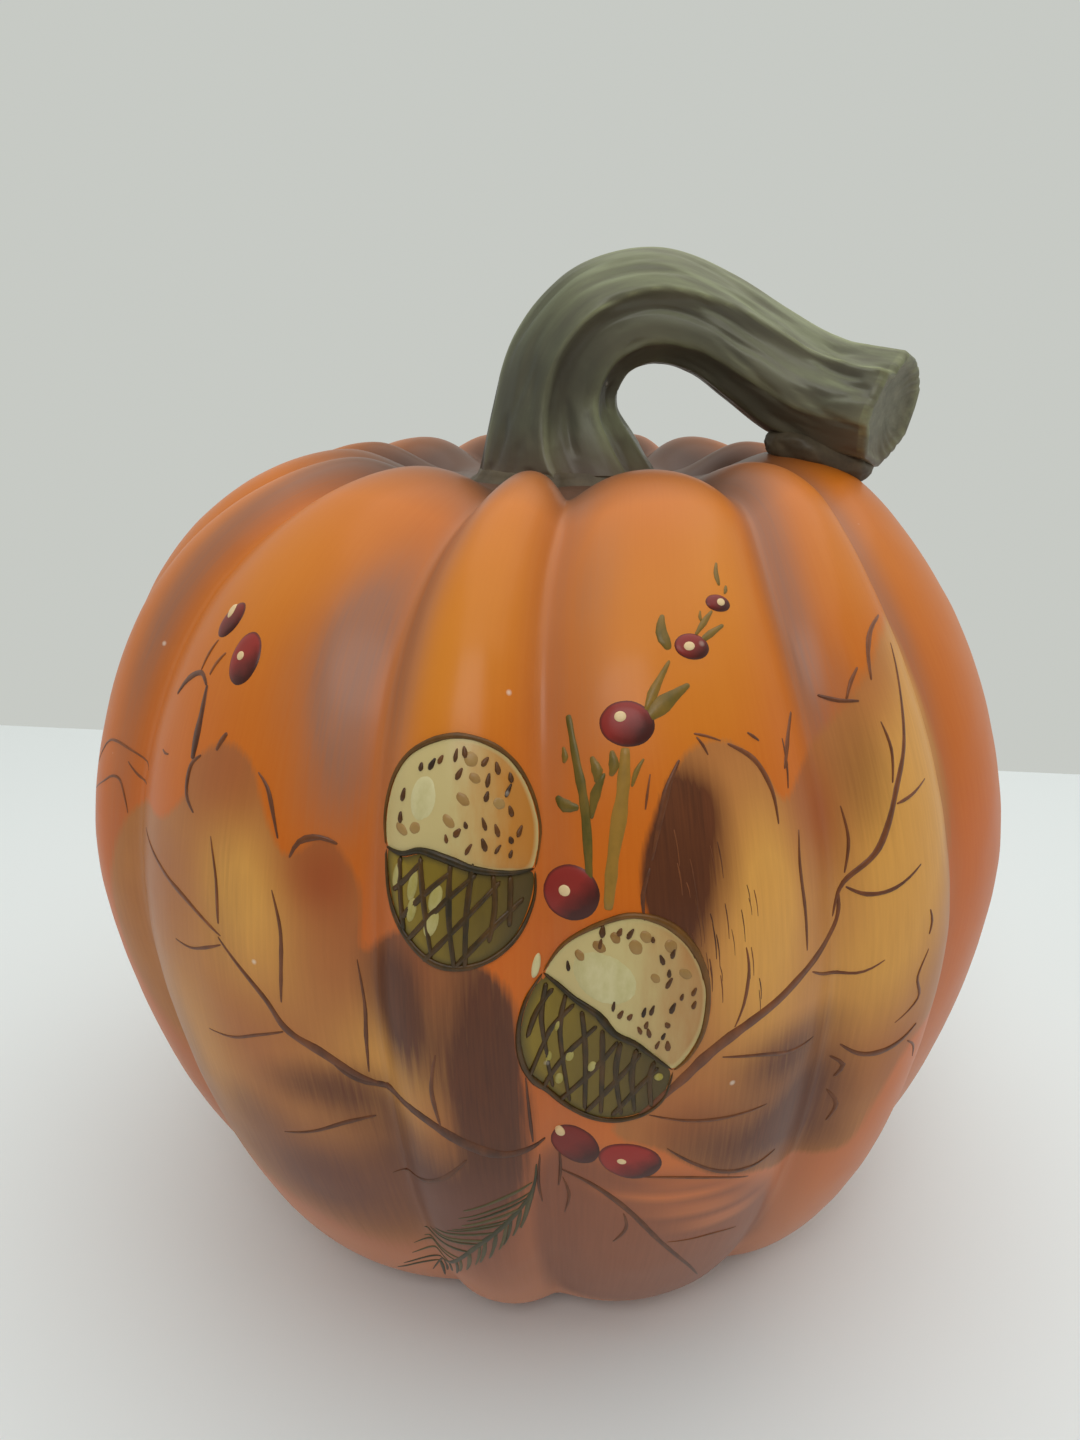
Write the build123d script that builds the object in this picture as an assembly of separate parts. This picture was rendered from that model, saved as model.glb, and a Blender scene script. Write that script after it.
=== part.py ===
from build123d import *
import math
import os

# Hollow slip-cast ceramic pumpkin. A solid-cast arched stem is luted on with
# slip at its base and at its tip, and four felt pads are glued under the foot.
# Millimetres, +Z up. The origin is the centre of the footprint on the surface
# that the pumpkin stands on; -Y is the painted front and +X its right side.

# ---- body -----------------------------------------------------------------
BELLY_RADIUS = 89.0        # rib crests at the widest level
RIM_RADIUS = 41.5          # circle that the highest points of the ribs lie on
SEAT_RADIUS = 23.0         # flat middle of the dimple, where the stem stands
FOOT_RADIUS = 52.5         # outside of the flat foot
FOOT_RECESS_RADIUS = 32.0  # recess inside the ring of the foot
FOOT_RECESS_DEPTH = 2.0
PAD_THICKNESS = 1.5
FOOT_HEIGHT = PAD_THICKNESS
BELLY_HEIGHT = 82.5
RIM_HEIGHT = 152.4
SEAT_HEIGHT = 147.0
SHOULDER_EXPONENT = 1.85   # superellipse from the belly up to the rim
HAUNCH_EXPONENT = 1.69     # superellipse from the belly down to the foot
LEAN = 0.026               # how far the axis leans to -X for each unit of height
SEAT_SHIFT = 4.8           # how far the dimple lies off the leaning axis, to +X
RIM_FALLOFF = 8            # larger keeps that shift, and the swing below, closer to the rim
WALL = 4.8
VENT_RADIUS = 5.0          # drain and vent hole in the middle of the base

# ---- ribs -----------------------------------------------------------------
# Azimuth of each groove in degrees, from the front towards +X: a broad rib
# and a narrow one in turn.
GROOVE_AZIMUTHS = [
    -74.0, -54.0, -17.0, 0.0, 30.5, 51.5, 92.0, 111.0, 143.0, 161.0, 192.0, 211.0, 240.0, 257.0,
]
GROOVE_DEPTH = 4.7         # at the belly
GROOVE_SHARPNESS = 2.6     # larger keeps the rib full for longer before the groove
GROOVE_SOFTNESS = 0.09     # rounds the bottom of the groove, as a part of half a rib
RIB_FRACTIONS = [0.0, 0.07, 0.2, 0.5, 0.8, 0.93]
RIM_SWING = 13.0           # how far the ribs on the right swing back as they cross the rim

# ---- levels of the loft ---------------------------------------------------
HAUNCH_TURNS = [0.0, 14.0, 28.0, 42.0, 56.0, 70.0]
SHOULDER_TURNS = [90.0, 76.0, 62.0, 48.0, 34.0, 22.0, 11.0]
DIMPLE_STEPS = [0.0, 0.25, 0.5, 0.75, 1.0]
HAUNCH_FADE = 60.0         # turn at which the grooves reach their full depth

# ---- stem -----------------------------------------------------------------
SLIP_THICKNESS = 1.5
STEM_FOOT_HEIGHT = SEAT_HEIGHT + SLIP_THICKNESS
STEM_LOBES = 5
LOBE_DEPTH = 0.05          # half the depth between lobes, as a part of the section's radius
STEM_TWIST = 50.0          # degrees that the lobes turn from the foot to the tip
SECTION_POINTS = 30
# Centre of each section, then its heading in degrees from +Z towards +X and
# from there towards the front, then half its height and half its width.
STEM_STATIONS = [
    ((3.4, 0.0, STEM_FOOT_HEIGHT), 0.0, 0.0, 17.6, 16.0),
    ((1.5, 0.0, 153.5), -8.0, 0.0, 15.0, 13.8),
    ((1.2, 0.0, 160.5), 2.0, 0.0, 12.2, 11.8),
    ((3.6, 0.0, 168.6), 27.0, 0.0, 11.3, 11.2),
    ((9.8, 0.0, 175.3), 60.0, 0.0, 10.9, 10.9),
    ((19.5, 0.0, 177.7), 91.0, 3.0, 10.3, 10.4),
    ((29.6, -1.0, 174.6), 114.0, 7.0, 9.5, 10.2),
    ((37.8, -2.4, 169.5), 124.0, 10.0, 9.8, 10.4),
    ((45.9, -4.2, 164.4), 121.0, 14.0, 10.3, 10.8),
    ((53.6, -6.3, 161.6), 110.0, 22.0, 10.4, 11.2),
    ((61.8, -8.8, 159.9), 102.0, 38.0, 10.5, 11.6),
]

# ---- slip joints and pads -------------------------------------------------
BASE_SLIP_SPREAD = 1.0     # how far the squeezed-out slip stands past the stem
TIP_SLIP_RADIUS = 6.8
TIP_SLIP_CENTRE = (54.0, -7.0, 149.6)
PAD_RADIUS = 6.0
PAD_CIRCLE_RADIUS = 40.5
PAD_AZIMUTHS = {"front_left": -45.0, "front_right": 45.0, "back_right": 135.0, "back_left": 225.0}


def around(azimuth, radius, height):
    """A point at an azimuth in degrees from the front, -Y, towards +X."""
    turn = math.radians(azimuth)
    return Vector(radius * math.sin(turn), -radius * math.cos(turn), height)


def into_groove(azimuth):
    """0 on the crest of a rib and 1 at the bottom of a groove."""
    starts = GROOVE_AZIMUTHS
    ends = GROOVE_AZIMUTHS[1:] + [GROOVE_AZIMUTHS[0] + 360.0]
    for start, end in zip(starts, ends):
        if start <= azimuth < end:
            to_groove = 1.0 - abs(2.0 * (azimuth - start) / (end - start) - 1.0)
            rounded = math.hypot(to_groove, GROOVE_SOFTNESS) - GROOVE_SOFTNESS
            return (1.0 - rounded) ** GROOVE_SHARPNESS
    raise ValueError("azimuth outside the ring of grooves")


def arc_level(turn, inner_radius, height_span, exponent):
    """Radius, height and outward direction on a superellipse arc from the belly
    (turn 90) to its end (turn 0)."""
    power = 2.0 / exponent
    sine = math.sin(math.radians(turn))
    cosine = math.cos(math.radians(turn))
    span = BELLY_RADIUS - inner_radius
    radius = inner_radius + span * sine ** power
    height = BELLY_HEIGHT + height_span * cosine ** power
    # The gradient of the superellipse gives the direction straight out.
    out = sine ** (2.0 - power) / span
    up = cosine ** (2.0 - power) / height_span
    length = math.hypot(out, up)
    return radius, height, out / length, up / length


def body_levels():
    """Every level of the outside, from the foot up and in to the stem's seat:
    radius, height, outward direction, groove depth, and how far it counts as rim."""
    levels = []
    for turn in HAUNCH_TURNS:
        fade = math.sin(math.radians(90.0 * min(1.0, turn / HAUNCH_FADE)))
        shape = arc_level(turn, FOOT_RADIUS, FOOT_HEIGHT - BELLY_HEIGHT, HAUNCH_EXPONENT)
        levels.append(shape + (GROOVE_DEPTH * fade, 0.0))
    for turn in SHOULDER_TURNS:
        shape = arc_level(turn, RIM_RADIUS, RIM_HEIGHT - BELLY_HEIGHT, SHOULDER_EXPONENT)
        rim_share = math.cos(math.radians(turn)) ** RIM_FALLOFF
        levels.append(shape + (GROOVE_DEPTH, rim_share))
    dimple_depth = RIM_HEIGHT - SEAT_HEIGHT
    dimple_width = RIM_RADIUS - SEAT_RADIUS
    for step in DIMPLE_STEPS:
        radius = RIM_RADIUS - dimple_width * step
        drop = dimple_depth * (0.5 - 0.5 * math.cos(math.pi * step))
        slope = 0.5 * math.pi * math.sin(math.pi * step) * dimple_depth / dimple_width
        length = math.hypot(slope, 1.0)
        fade = math.cos(0.5 * math.pi * step)
        levels.append((radius, RIM_HEIGHT - drop, -slope / length, 1.0 / length, GROOVE_DEPTH * fade, 1.0))
    return levels


def body_loft(inset):
    """The fluted body, moved in from its outside by an even inset."""
    azimuths = []
    ends = GROOVE_AZIMUTHS[1:] + [GROOVE_AZIMUTHS[0] + 360.0]
    for start, end in zip(GROOVE_AZIMUTHS, ends):
        azimuths += [start + (end - start) * part for part in RIB_FRACTIONS]
    knots = azimuths + [azimuths[0] + 360.0]
    wires = []
    for radius, height, out, up, depth, rim_share in body_levels():
        shift = SEAT_SHIFT * rim_share - LEAN * (height - BELLY_HEIGHT)
        points = []
        for azimuth in azimuths:
            inward = inset + depth * into_groove(azimuth)
            swing = RIM_SWING * rim_share * max(0.0, math.sin(math.radians(azimuth)))
            point = around(azimuth + swing, radius - inward * out, height - inward * up)
            points.append(point + Vector(shift, 0, 0))
        wires.append(Wire([Edge.make_spline(points, periodic=True, parameters=knots)]))
    return Solid.make_loft(wires)


def make_body(outside):
    cavity = body_loft(WALL)
    recess = Pos(0, 0, FOOT_HEIGHT) * Cylinder(
        FOOT_RECESS_RADIUS, FOOT_RECESS_DEPTH, align=(Align.CENTER, Align.CENTER, Align.MIN)
    )
    vent = Pos(0, 0, FOOT_HEIGHT) * Cylinder(
        VENT_RADIUS, 2.0 * WALL, align=(Align.CENTER, Align.CENTER, Align.MIN)
    )
    return outside - cavity - recess - vent


def stem_section(station, lobe_turn):
    centre, heading, forward, half_height, half_width = station
    lean = math.radians(heading)
    turn = math.radians(forward)
    along = Vector(math.sin(lean) * math.cos(turn), -math.sin(lean) * math.sin(turn), math.cos(lean))
    side = Vector(0, 1, 0) - along * along.Y
    side = side.normalized()
    outer = side.cross(along).normalized() * -1.0
    points = []
    knots = [360.0 * index / SECTION_POINTS for index in range(SECTION_POINTS + 1)]
    for angle in knots[:-1]:
        lobe = 1.0 - LOBE_DEPTH * (1.0 - math.cos(math.radians(STEM_LOBES * (angle - lobe_turn))))
        reach = outer * (half_height * lobe * math.cos(math.radians(angle)))
        across = side * (half_width * lobe * math.sin(math.radians(angle)))
        points.append(Vector(*centre) + reach + across)
    return Wire([Edge.make_spline(points, periodic=True, parameters=knots)])


def make_stem():
    last = len(STEM_STATIONS) - 1
    wires = [stem_section(station, STEM_TWIST * index / last) for index, station in enumerate(STEM_STATIONS)]
    return Solid.make_loft(wires)


def make_base_slip():
    """The film of slip between the seat and the stem, flared where it squeezed out."""
    (x, y, top), heading, forward, half_height, half_width = STEM_STATIONS[0]
    spread = (
        (x, y, top - SLIP_THICKNESS), heading, forward,
        half_height + BASE_SLIP_SPREAD, half_width + BASE_SLIP_SPREAD,
    )
    return Solid.make_loft([stem_section(spread, 0.0), stem_section(STEM_STATIONS[0], 0.0)])


def make_tip_slip(outside, stem):
    """The blob of slip that fills the gap under the tip of the stem."""
    blob = Pos(*TIP_SLIP_CENTRE) * Sphere(TIP_SLIP_RADIUS)
    left_over = blob - outside - stem
    return max(left_over.solids(), key=lambda piece: piece.volume)


def make_pad(azimuth):
    centre = around(azimuth, PAD_CIRCLE_RADIUS, 0.0)
    return Pos(centre.X, centre.Y, 0) * Cylinder(
        PAD_RADIUS, PAD_THICKNESS, align=(Align.CENTER, Align.CENTER, Align.MIN)
    )


os.makedirs("parts", exist_ok=True)
body_outside = body_loft(0.0)
stem = make_stem()
pieces = {
    "pumpkin_body": make_body(body_outside),
    "stem": stem,
    "stem_base_slip": make_base_slip(),
    "stem_tip_slip": make_tip_slip(body_outside, stem),
}
for place, azimuth in PAD_AZIMUTHS.items():
    pieces[f"felt_pad_{place}"] = make_pad(azimuth)
for name, piece in pieces.items():
    export_step(piece, f"parts/{name}.step")
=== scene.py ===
import math
import random
from collections import namedtuple

import bmesh
import bpy
import numpy as np
from mathutils import Matrix, Vector, noise


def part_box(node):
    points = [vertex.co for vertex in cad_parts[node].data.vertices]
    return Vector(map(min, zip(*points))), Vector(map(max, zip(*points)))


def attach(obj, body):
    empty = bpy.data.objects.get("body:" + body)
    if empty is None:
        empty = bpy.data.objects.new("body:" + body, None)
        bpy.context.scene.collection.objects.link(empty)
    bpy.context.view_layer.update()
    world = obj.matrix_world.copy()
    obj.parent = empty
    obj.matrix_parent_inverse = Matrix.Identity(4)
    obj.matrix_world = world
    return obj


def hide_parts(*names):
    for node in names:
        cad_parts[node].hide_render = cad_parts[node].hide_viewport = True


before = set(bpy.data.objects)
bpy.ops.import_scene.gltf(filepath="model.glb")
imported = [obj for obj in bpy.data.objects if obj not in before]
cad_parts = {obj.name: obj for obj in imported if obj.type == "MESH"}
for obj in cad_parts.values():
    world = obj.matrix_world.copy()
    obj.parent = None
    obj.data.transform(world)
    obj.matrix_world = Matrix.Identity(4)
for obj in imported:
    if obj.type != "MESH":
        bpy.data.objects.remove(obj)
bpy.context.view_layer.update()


# ---- Camera ---------------------------------------------------------------
# A phone held a hand's breadth above the figure and close in front of it,
# tipped down a little, so the top of the dimple just shows.
CAMERA_PLACE = (0.0, -0.2128, 0.1701)
CAMERA_LOOKS = (-0.0075, 0.9462, -0.3234)
CAMERA_LENS = 27.0         # mm
NEAREST_SEEN = 0.01

camera_lens = bpy.data.cameras.new("camera")
camera_lens.lens = CAMERA_LENS
camera_lens.clip_start = NEAREST_SEEN
camera = bpy.data.objects.new("camera", camera_lens)
camera.location = CAMERA_PLACE
camera.rotation_euler = Vector(CAMERA_LOOKS).to_track_quat("-Z", "Y").to_euler()
bpy.context.scene.collection.objects.link(camera)
bpy.context.scene.camera = camera


# ---- Table and light ------------------------------------------------------
# A plain white table top in front of a pale wall, in the soft light of a tent:
# one broad cloth overhead, a weaker one by the front, and the bright room.
TABLE_WIDTH = 1.6
TABLE_DEPTH = 0.9
TABLE_THICKNESS = 0.03
TABLE_BACK = 0.2495        # how far behind the figure the table ends
TABLE_SLANT = -7.0         # degrees that the back edge is turned
TABLE_EDGE = 0.008         # how far its edges are rounded
WALL_COLOUR = (0.570, 0.590, 0.555)
ROOM_IN_FRONT = 0.18       # how strongly the front of the room lights the figure
ROOM_BEHIND = 1.2


def tint(red, green, blue):
    """A colour given as it looks on a paint chart, 0 to 255, as the shader wants it."""
    linear = []
    for value in (red, green, blue):
        share = value / 255.0
        linear.append(share / 12.92 if share <= 0.04045 else ((share + 0.055) / 1.055) ** 2.4)
    return (*linear, 1.0)


def shade(tree, kind, inputs=None, **settings):
    """Adds a shader node. Each input is a value, or the socket that feeds it."""
    node = tree.nodes.new(kind)
    for name, value in settings.items():
        setattr(node, name, value)
    for name, value in (inputs or {}).items():
        if isinstance(value, bpy.types.NodeSocket):
            tree.links.new(value, node.inputs[name])
        else:
            node.inputs[name].default_value = value
    return node


def count(tree, operation, first, second, clamp=False):
    """A sum, a product or a comparison of two values."""
    node = shade(tree, "ShaderNodeMath", {0: first, 1: second}, operation=operation, use_clamp=clamp)
    return node.outputs[0]


def mix(tree, share, under, over, strength=None):
    """One colour over another, by a share from 0 to 1 that a strength can weaken."""
    if strength is not None:
        share = count(tree, "MULTIPLY", share, strength)
    return shade(tree, "ShaderNodeMix", {0: share, 6: under, 7: over}, data_type="RGBA").outputs[2]


def spread(tree, value, low, high, to_low=0.0, to_high=1.0):
    """Turns low..high into to_low..to_high, and stops there."""
    inputs = {"Value": value, "From Min": low, "From Max": high, "To Min": to_low, "To Max": to_high}
    return shade(tree, "ShaderNodeMapRange", inputs).outputs[0]


def new_material(name):
    """A material with its Principled shader, ready to be wired."""
    material = bpy.data.materials.new(name)
    material.use_nodes = True
    return material, material.node_tree, material.node_tree.nodes["Principled BSDF"]


def finish_mesh(bm, name, material, scale=0.001):
    """Makes a smooth-shaded object of a bmesh drawn in millimetres, or in metres at scale 1."""
    bmesh.ops.scale(bm, vec=(scale, scale, scale), verts=bm.verts)
    mesh = bpy.data.meshes.new(name)
    bm.to_mesh(mesh)
    bm.free()
    mesh.polygons.foreach_set("use_smooth", [True] * len(mesh.polygons))
    mesh.materials.append(material)
    piece = bpy.data.objects.new(name, mesh)
    bpy.context.scene.collection.objects.link(piece)
    return piece


table_white, tree, surface = new_material("table_white")
where = shade(tree, "ShaderNodeTexCoord").outputs["Object"]
cloudy = shade(tree, "ShaderNodeTexNoise", {"Vector": where, "Scale": 3.0, "Detail": 2.0}).outputs["Fac"]
tree.links.new(mix(tree, cloudy, tint(226, 231, 232), tint(232, 236, 237)), surface.inputs["Base Color"])
surface.inputs["Roughness"].default_value = 0.75
surface.inputs["Specular IOR Level"].default_value = 0.2

table_top = bmesh.new()
bmesh.ops.create_cube(table_top, size=1.0)
bmesh.ops.scale(table_top, vec=(TABLE_WIDTH, TABLE_DEPTH, TABLE_THICKNESS), verts=table_top.verts)
table_middle = Vector((0, TABLE_BACK - 0.5 * TABLE_DEPTH, -0.5 * TABLE_THICKNESS))
bmesh.ops.translate(table_top, vec=table_middle, verts=table_top.verts)
turn = Matrix.Rotation(math.radians(TABLE_SLANT), 3, "Z")
bmesh.ops.rotate(table_top, cent=(0, TABLE_BACK, 0), matrix=turn, verts=table_top.verts)
bmesh.ops.bevel(
    table_top, geom=table_top.edges[:], offset=TABLE_EDGE, affect="EDGES",
    segments=4, profile=0.5, material=-1,
)
table = finish_mesh(table_top, "table", table_white, scale=1.0)

# Seen straight on, the room is one even pale wall. The light that it sheds on
# the figure comes mostly from behind and above, because a person stands in front.
room = bpy.data.worlds.new("room")
room.use_nodes = True
tree = room.node_tree
way_out = shade(tree, "ShaderNodeTexCoord").outputs["Generated"]
direction = shade(tree, "ShaderNodeSeparateXYZ", {0: way_out})
shed = spread(tree, direction.outputs["Y"], -0.9, 0.2, ROOM_IN_FRONT, ROOM_BEHIND)
seen = shade(tree, "ShaderNodeLightPath").outputs["Is Camera Ray"]
strength = shade(tree, "ShaderNodeMix", {0: seen, 2: shed, 3: 1.0}, data_type="FLOAT").outputs[0]
tree.nodes["Background"].inputs["Color"].default_value = (*WALL_COLOUR, 1.0)
tree.links.new(strength, tree.nodes["Background"].inputs["Strength"])
bpy.context.scene.world = room
bpy.context.scene.view_settings.view_transform = "Standard"


def soft_light(name, place, aim, width, depth, watts):
    """A white cloth with a lamp behind it, turned to a point of the figure."""
    light = bpy.data.lights.new(name, "AREA")
    light.shape = "RECTANGLE"
    light.size = width
    light.size_y = depth
    light.energy = watts
    lamp = bpy.data.objects.new(name, light)
    lamp.location = place
    lamp.rotation_euler = (Vector(aim) - Vector(place)).to_track_quat("-Z", "Y").to_euler()
    bpy.context.scene.collection.objects.link(lamp)


soft_light("overhead_cloth", (0.15, 0.0, 0.95), (0.0, 0.0, 0.08), 1.2, 1.2, 4.8)
soft_light("front_cloth", (-0.06, -0.70, 0.72), (0.0, 0.0, 0.09), 0.5, 0.3, 2.2)


# ---- Pumpkin body ---------------------------------------------------------
# A hollow slip-cast ceramic pumpkin with broad and narrow ribs in turn, bisque
# fired, painted by hand and coated with clear varnish. It has a shallow dimple
# for the stem, a flat foot ring with a shallow recess, and a vent hole below.
BELLY_RADIUS = 89.0
RIM_RADIUS = 41.5
SEAT_RADIUS = 23.0
FOOT_RADIUS = 52.5
FOOT_RECESS_RADIUS = 32.0
FOOT_RECESS_DEPTH = 2.0
FOOT_HEIGHT = 1.5
BELLY_HEIGHT = 82.5
RIM_HEIGHT = 152.4
SEAT_HEIGHT = 147.0
SHOULDER_EXPONENT = 1.85   # roundness of the curve above the belly, 2 being an ellipse
HAUNCH_EXPONENT = 1.69
LEAN = 0.026               # how far the body leans to the left, in mm for each mm up
SEAT_SHIFT = 4.8           # how far the dimple is off to the right
RIM_FALLOFF = 8
WALL = 4.8
VENT_RADIUS = 5.0
FOOT_EDGE = 0.6            # how far the inner edge of the foot ring is rubbed round
VENT_EDGE = 0.5
GROOVE_AZIMUTHS = [
    -74.0, -54.0, -17.0, 0.0, 30.5, 51.5, 92.0, 111.0, 143.0, 161.0, 192.0, 211.0, 240.0, 257.0,
]
GROOVE_DEPTH = 4.7
GROOVE_SHARPNESS = 2.6
GROOVE_SOFTNESS = 0.09
RIM_SWING = 13.0           # degrees that the grooves on the right swing round at the rim
HAUNCH_FADE = 60.0         # turn below which the grooves grow shallow towards the foot

COLUMNS = 440              # steps round the body
FRONT_CROWDING = 0.45      # how much closer together they stand on the painted front
SHOULDER_ROWS = 84
HAUNCH_ROWS = 74
DIMPLE_ROWS = 20
INNER_ROWS = 6
SEAT_ROWS = 4
HAND_WOBBLE = 0.28         # unevenness of the hand-finished casting
BROAD_WOBBLE = 0.045       # how close together its swells are, and its smaller dents
FINE_WOBBLE = 0.16

Level = namedtuple("Level", "radius height out up depth rim_share shift")


def around(azimuth, radius, height):
    """A point at an azimuth in degrees from the front, -Y, towards +X."""
    turn = math.radians(azimuth)
    return Vector((radius * math.sin(turn), -radius * math.cos(turn), height))


def into_groove(azimuth):
    """0 on the crest of a rib and 1 at the bottom of a groove."""
    azimuth = (azimuth - GROOVE_AZIMUTHS[0]) % 360.0 + GROOVE_AZIMUTHS[0]
    ends = GROOVE_AZIMUTHS[1:] + [GROOVE_AZIMUTHS[0] + 360.0]
    for start, end in zip(GROOVE_AZIMUTHS, ends):
        if azimuth <= end:
            to_groove = 1.0 - abs(2.0 * (azimuth - start) / (end - start) - 1.0)
            rounded = math.hypot(to_groove, GROOVE_SOFTNESS) - GROOVE_SOFTNESS
            return (1.0 - rounded) ** GROOVE_SHARPNESS
    return 1.0


def lean_shift(height, rim_share=0.0):
    """How far to the right a level lies."""
    return SEAT_SHIFT * rim_share - LEAN * (height - BELLY_HEIGHT)


def arc_level(turn, inner_radius, height_span, exponent):
    """A level on the curve from the belly to the rim or the foot, with its outward direction."""
    power = 2.0 / exponent
    sine = math.sin(math.radians(turn))
    cosine = math.cos(math.radians(turn))
    span = BELLY_RADIUS - inner_radius
    radius = inner_radius + span * sine ** power
    height = BELLY_HEIGHT + height_span * cosine ** power
    out = sine ** (2.0 - power) / span
    up = cosine ** (2.0 - power) / height_span
    length = math.hypot(out, up)
    if height_span > 0:
        depth = GROOVE_DEPTH
        rim_share = cosine ** RIM_FALLOFF
    else:
        depth = GROOVE_DEPTH * math.sin(math.radians(90.0 * min(1.0, turn / HAUNCH_FADE)))
        rim_share = 0.0
    return Level(radius, height, out / length, up / length, depth, rim_share, lean_shift(height, rim_share))


def shoulder(turn):
    """A level between the belly (turn 90) and the rim (turn 0)."""
    return arc_level(turn, RIM_RADIUS, RIM_HEIGHT - BELLY_HEIGHT, SHOULDER_EXPONENT)


def haunch(turn):
    """A level between the belly (turn 90) and the foot (turn 0)."""
    return arc_level(turn, FOOT_RADIUS, FOOT_HEIGHT - BELLY_HEIGHT, HAUNCH_EXPONENT)


def dimple(step):
    """A level on the way in from the rim (step 0) to the stem's seat (step 1)."""
    depth = RIM_HEIGHT - SEAT_HEIGHT
    width = RIM_RADIUS - SEAT_RADIUS
    slope = 0.5 * math.pi * math.sin(math.pi * step) * depth / width
    length = math.hypot(slope, 1.0)
    height = RIM_HEIGHT - depth * (0.5 - 0.5 * math.cos(math.pi * step))
    radius = RIM_RADIUS - width * step
    groove = GROOVE_DEPTH * math.cos(0.5 * math.pi * step)
    return Level(radius, height, -slope / length, 1.0 / length, groove, 1.0, lean_shift(height, 1.0))


def level_at(height):
    """The level whose rib crests stand at a height."""
    if height >= BELLY_HEIGHT:
        climb = min(1.0, (height - BELLY_HEIGHT) / (RIM_HEIGHT - BELLY_HEIGHT))
        return shoulder(math.degrees(math.acos(climb ** (0.5 * SHOULDER_EXPONENT))))
    drop = min(1.0, (BELLY_HEIGHT - height) / (BELLY_HEIGHT - FOOT_HEIGHT))
    return haunch(math.degrees(math.acos(drop ** (0.5 * HAUNCH_EXPONENT))))


def on_body(azimuth, level, lift=0.0):
    """A point of the fluted body, raised by a lift."""
    inward = level.depth * into_groove(azimuth) - lift
    swing = RIM_SWING * level.rim_share * max(0.0, math.sin(math.radians(azimuth)))
    point = around(azimuth + swing, level.radius - inward * level.out, level.height - inward * level.up)
    point.x += level.shift
    wobble = HAND_WOBBLE * noise.noise(point * BROAD_WOBBLE)
    wobble += 0.3 * HAND_WOBBLE * noise.noise(point * FINE_WOBBLE)
    wobble *= level.depth / GROOVE_DEPTH
    outward = Vector((point.x, point.y, 0.4 * (point.z - BELLY_HEIGHT))).normalized()
    return point + outward * wobble


def flat_level(radius, height):
    """A level of the unfluted underside, centred on the vent hole."""
    return Level(radius, height, 0.0, -1.0, 0.0, 0.0, 0.0)


seat_shift = lean_shift(SEAT_HEIGHT, 1.0)
outer_levels = [
    Level(0.3 * SEAT_RADIUS * step, SEAT_HEIGHT, 0.0, 1.0, 0.0, 1.0, seat_shift) for step in range(SEAT_ROWS)
]
outer_levels += [dimple(1.0 - row / DIMPLE_ROWS) for row in range(DIMPLE_ROWS)]
outer_levels += [shoulder(90.0 * row / SHOULDER_ROWS) for row in range(SHOULDER_ROWS)]
outer_levels += [haunch(90.0 - 90.0 * row / HAUNCH_ROWS) for row in range(HAUNCH_ROWS)]
outer_levels += [haunch(0.0)]
recess_height = FOOT_HEIGHT + FOOT_RECESS_DEPTH
under_levels = [
    flat_level(FOOT_RECESS_RADIUS + FOOT_EDGE, FOOT_HEIGHT),
    flat_level(FOOT_RECESS_RADIUS, FOOT_HEIGHT + FOOT_EDGE),
    flat_level(FOOT_RECESS_RADIUS, recess_height),
    flat_level(VENT_RADIUS + VENT_EDGE, recess_height),
    flat_level(VENT_RADIUS, recess_height + VENT_EDGE),
    flat_level(VENT_RADIUS, FOOT_HEIGHT + WALL),
]
inner_levels = [haunch(90.0 * row / INNER_ROWS) for row in range(INNER_ROWS)]
inner_levels += [shoulder(90.0 - 90.0 * row / INNER_ROWS) for row in range(INNER_ROWS)]
inner_levels += [dimple(0.0), dimple(0.5), dimple(1.0), outer_levels[0]]
levels = outer_levels + under_levels + inner_levels
first_inner = len(outer_levels) + len(under_levels)

body_mesh = bmesh.new()
row_layer = body_mesh.verts.layers.int.new("row")
azimuth_layer = body_mesh.verts.layers.float.new("azimuth")
profile = []
for row, level in enumerate(levels):
    height = level.height - (WALL if row >= first_inner else 0.0)
    vertex = body_mesh.verts.new((0.0, -level.radius, height))
    vertex[row_layer] = row
    profile.append(vertex)
profile_edges = [body_mesh.edges.new(pair) for pair in zip(profile, profile[1:])]
bmesh.ops.spin(
    body_mesh, geom=profile + profile_edges, cent=(0, 0, 0), axis=(0, 0, 1), dvec=(0, 0, 0),
    angle=math.radians(360.0), steps=COLUMNS, use_merge=True,
)
bmesh.ops.remove_doubles(body_mesh, verts=body_mesh.verts, dist=0.0001)
for vertex in body_mesh.verts:
    turned = math.atan2(vertex.co.x, -vertex.co.y)
    azimuth = math.degrees(turned - FRONT_CROWDING * math.sin(turned))
    row = vertex[row_layer]
    vertex[azimuth_layer] = azimuth
    vertex.co = on_body(azimuth, levels[row], -WALL if row >= first_inner else 0.0)
bmesh.ops.recalc_face_normals(body_mesh, faces=body_mesh.faces)

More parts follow.
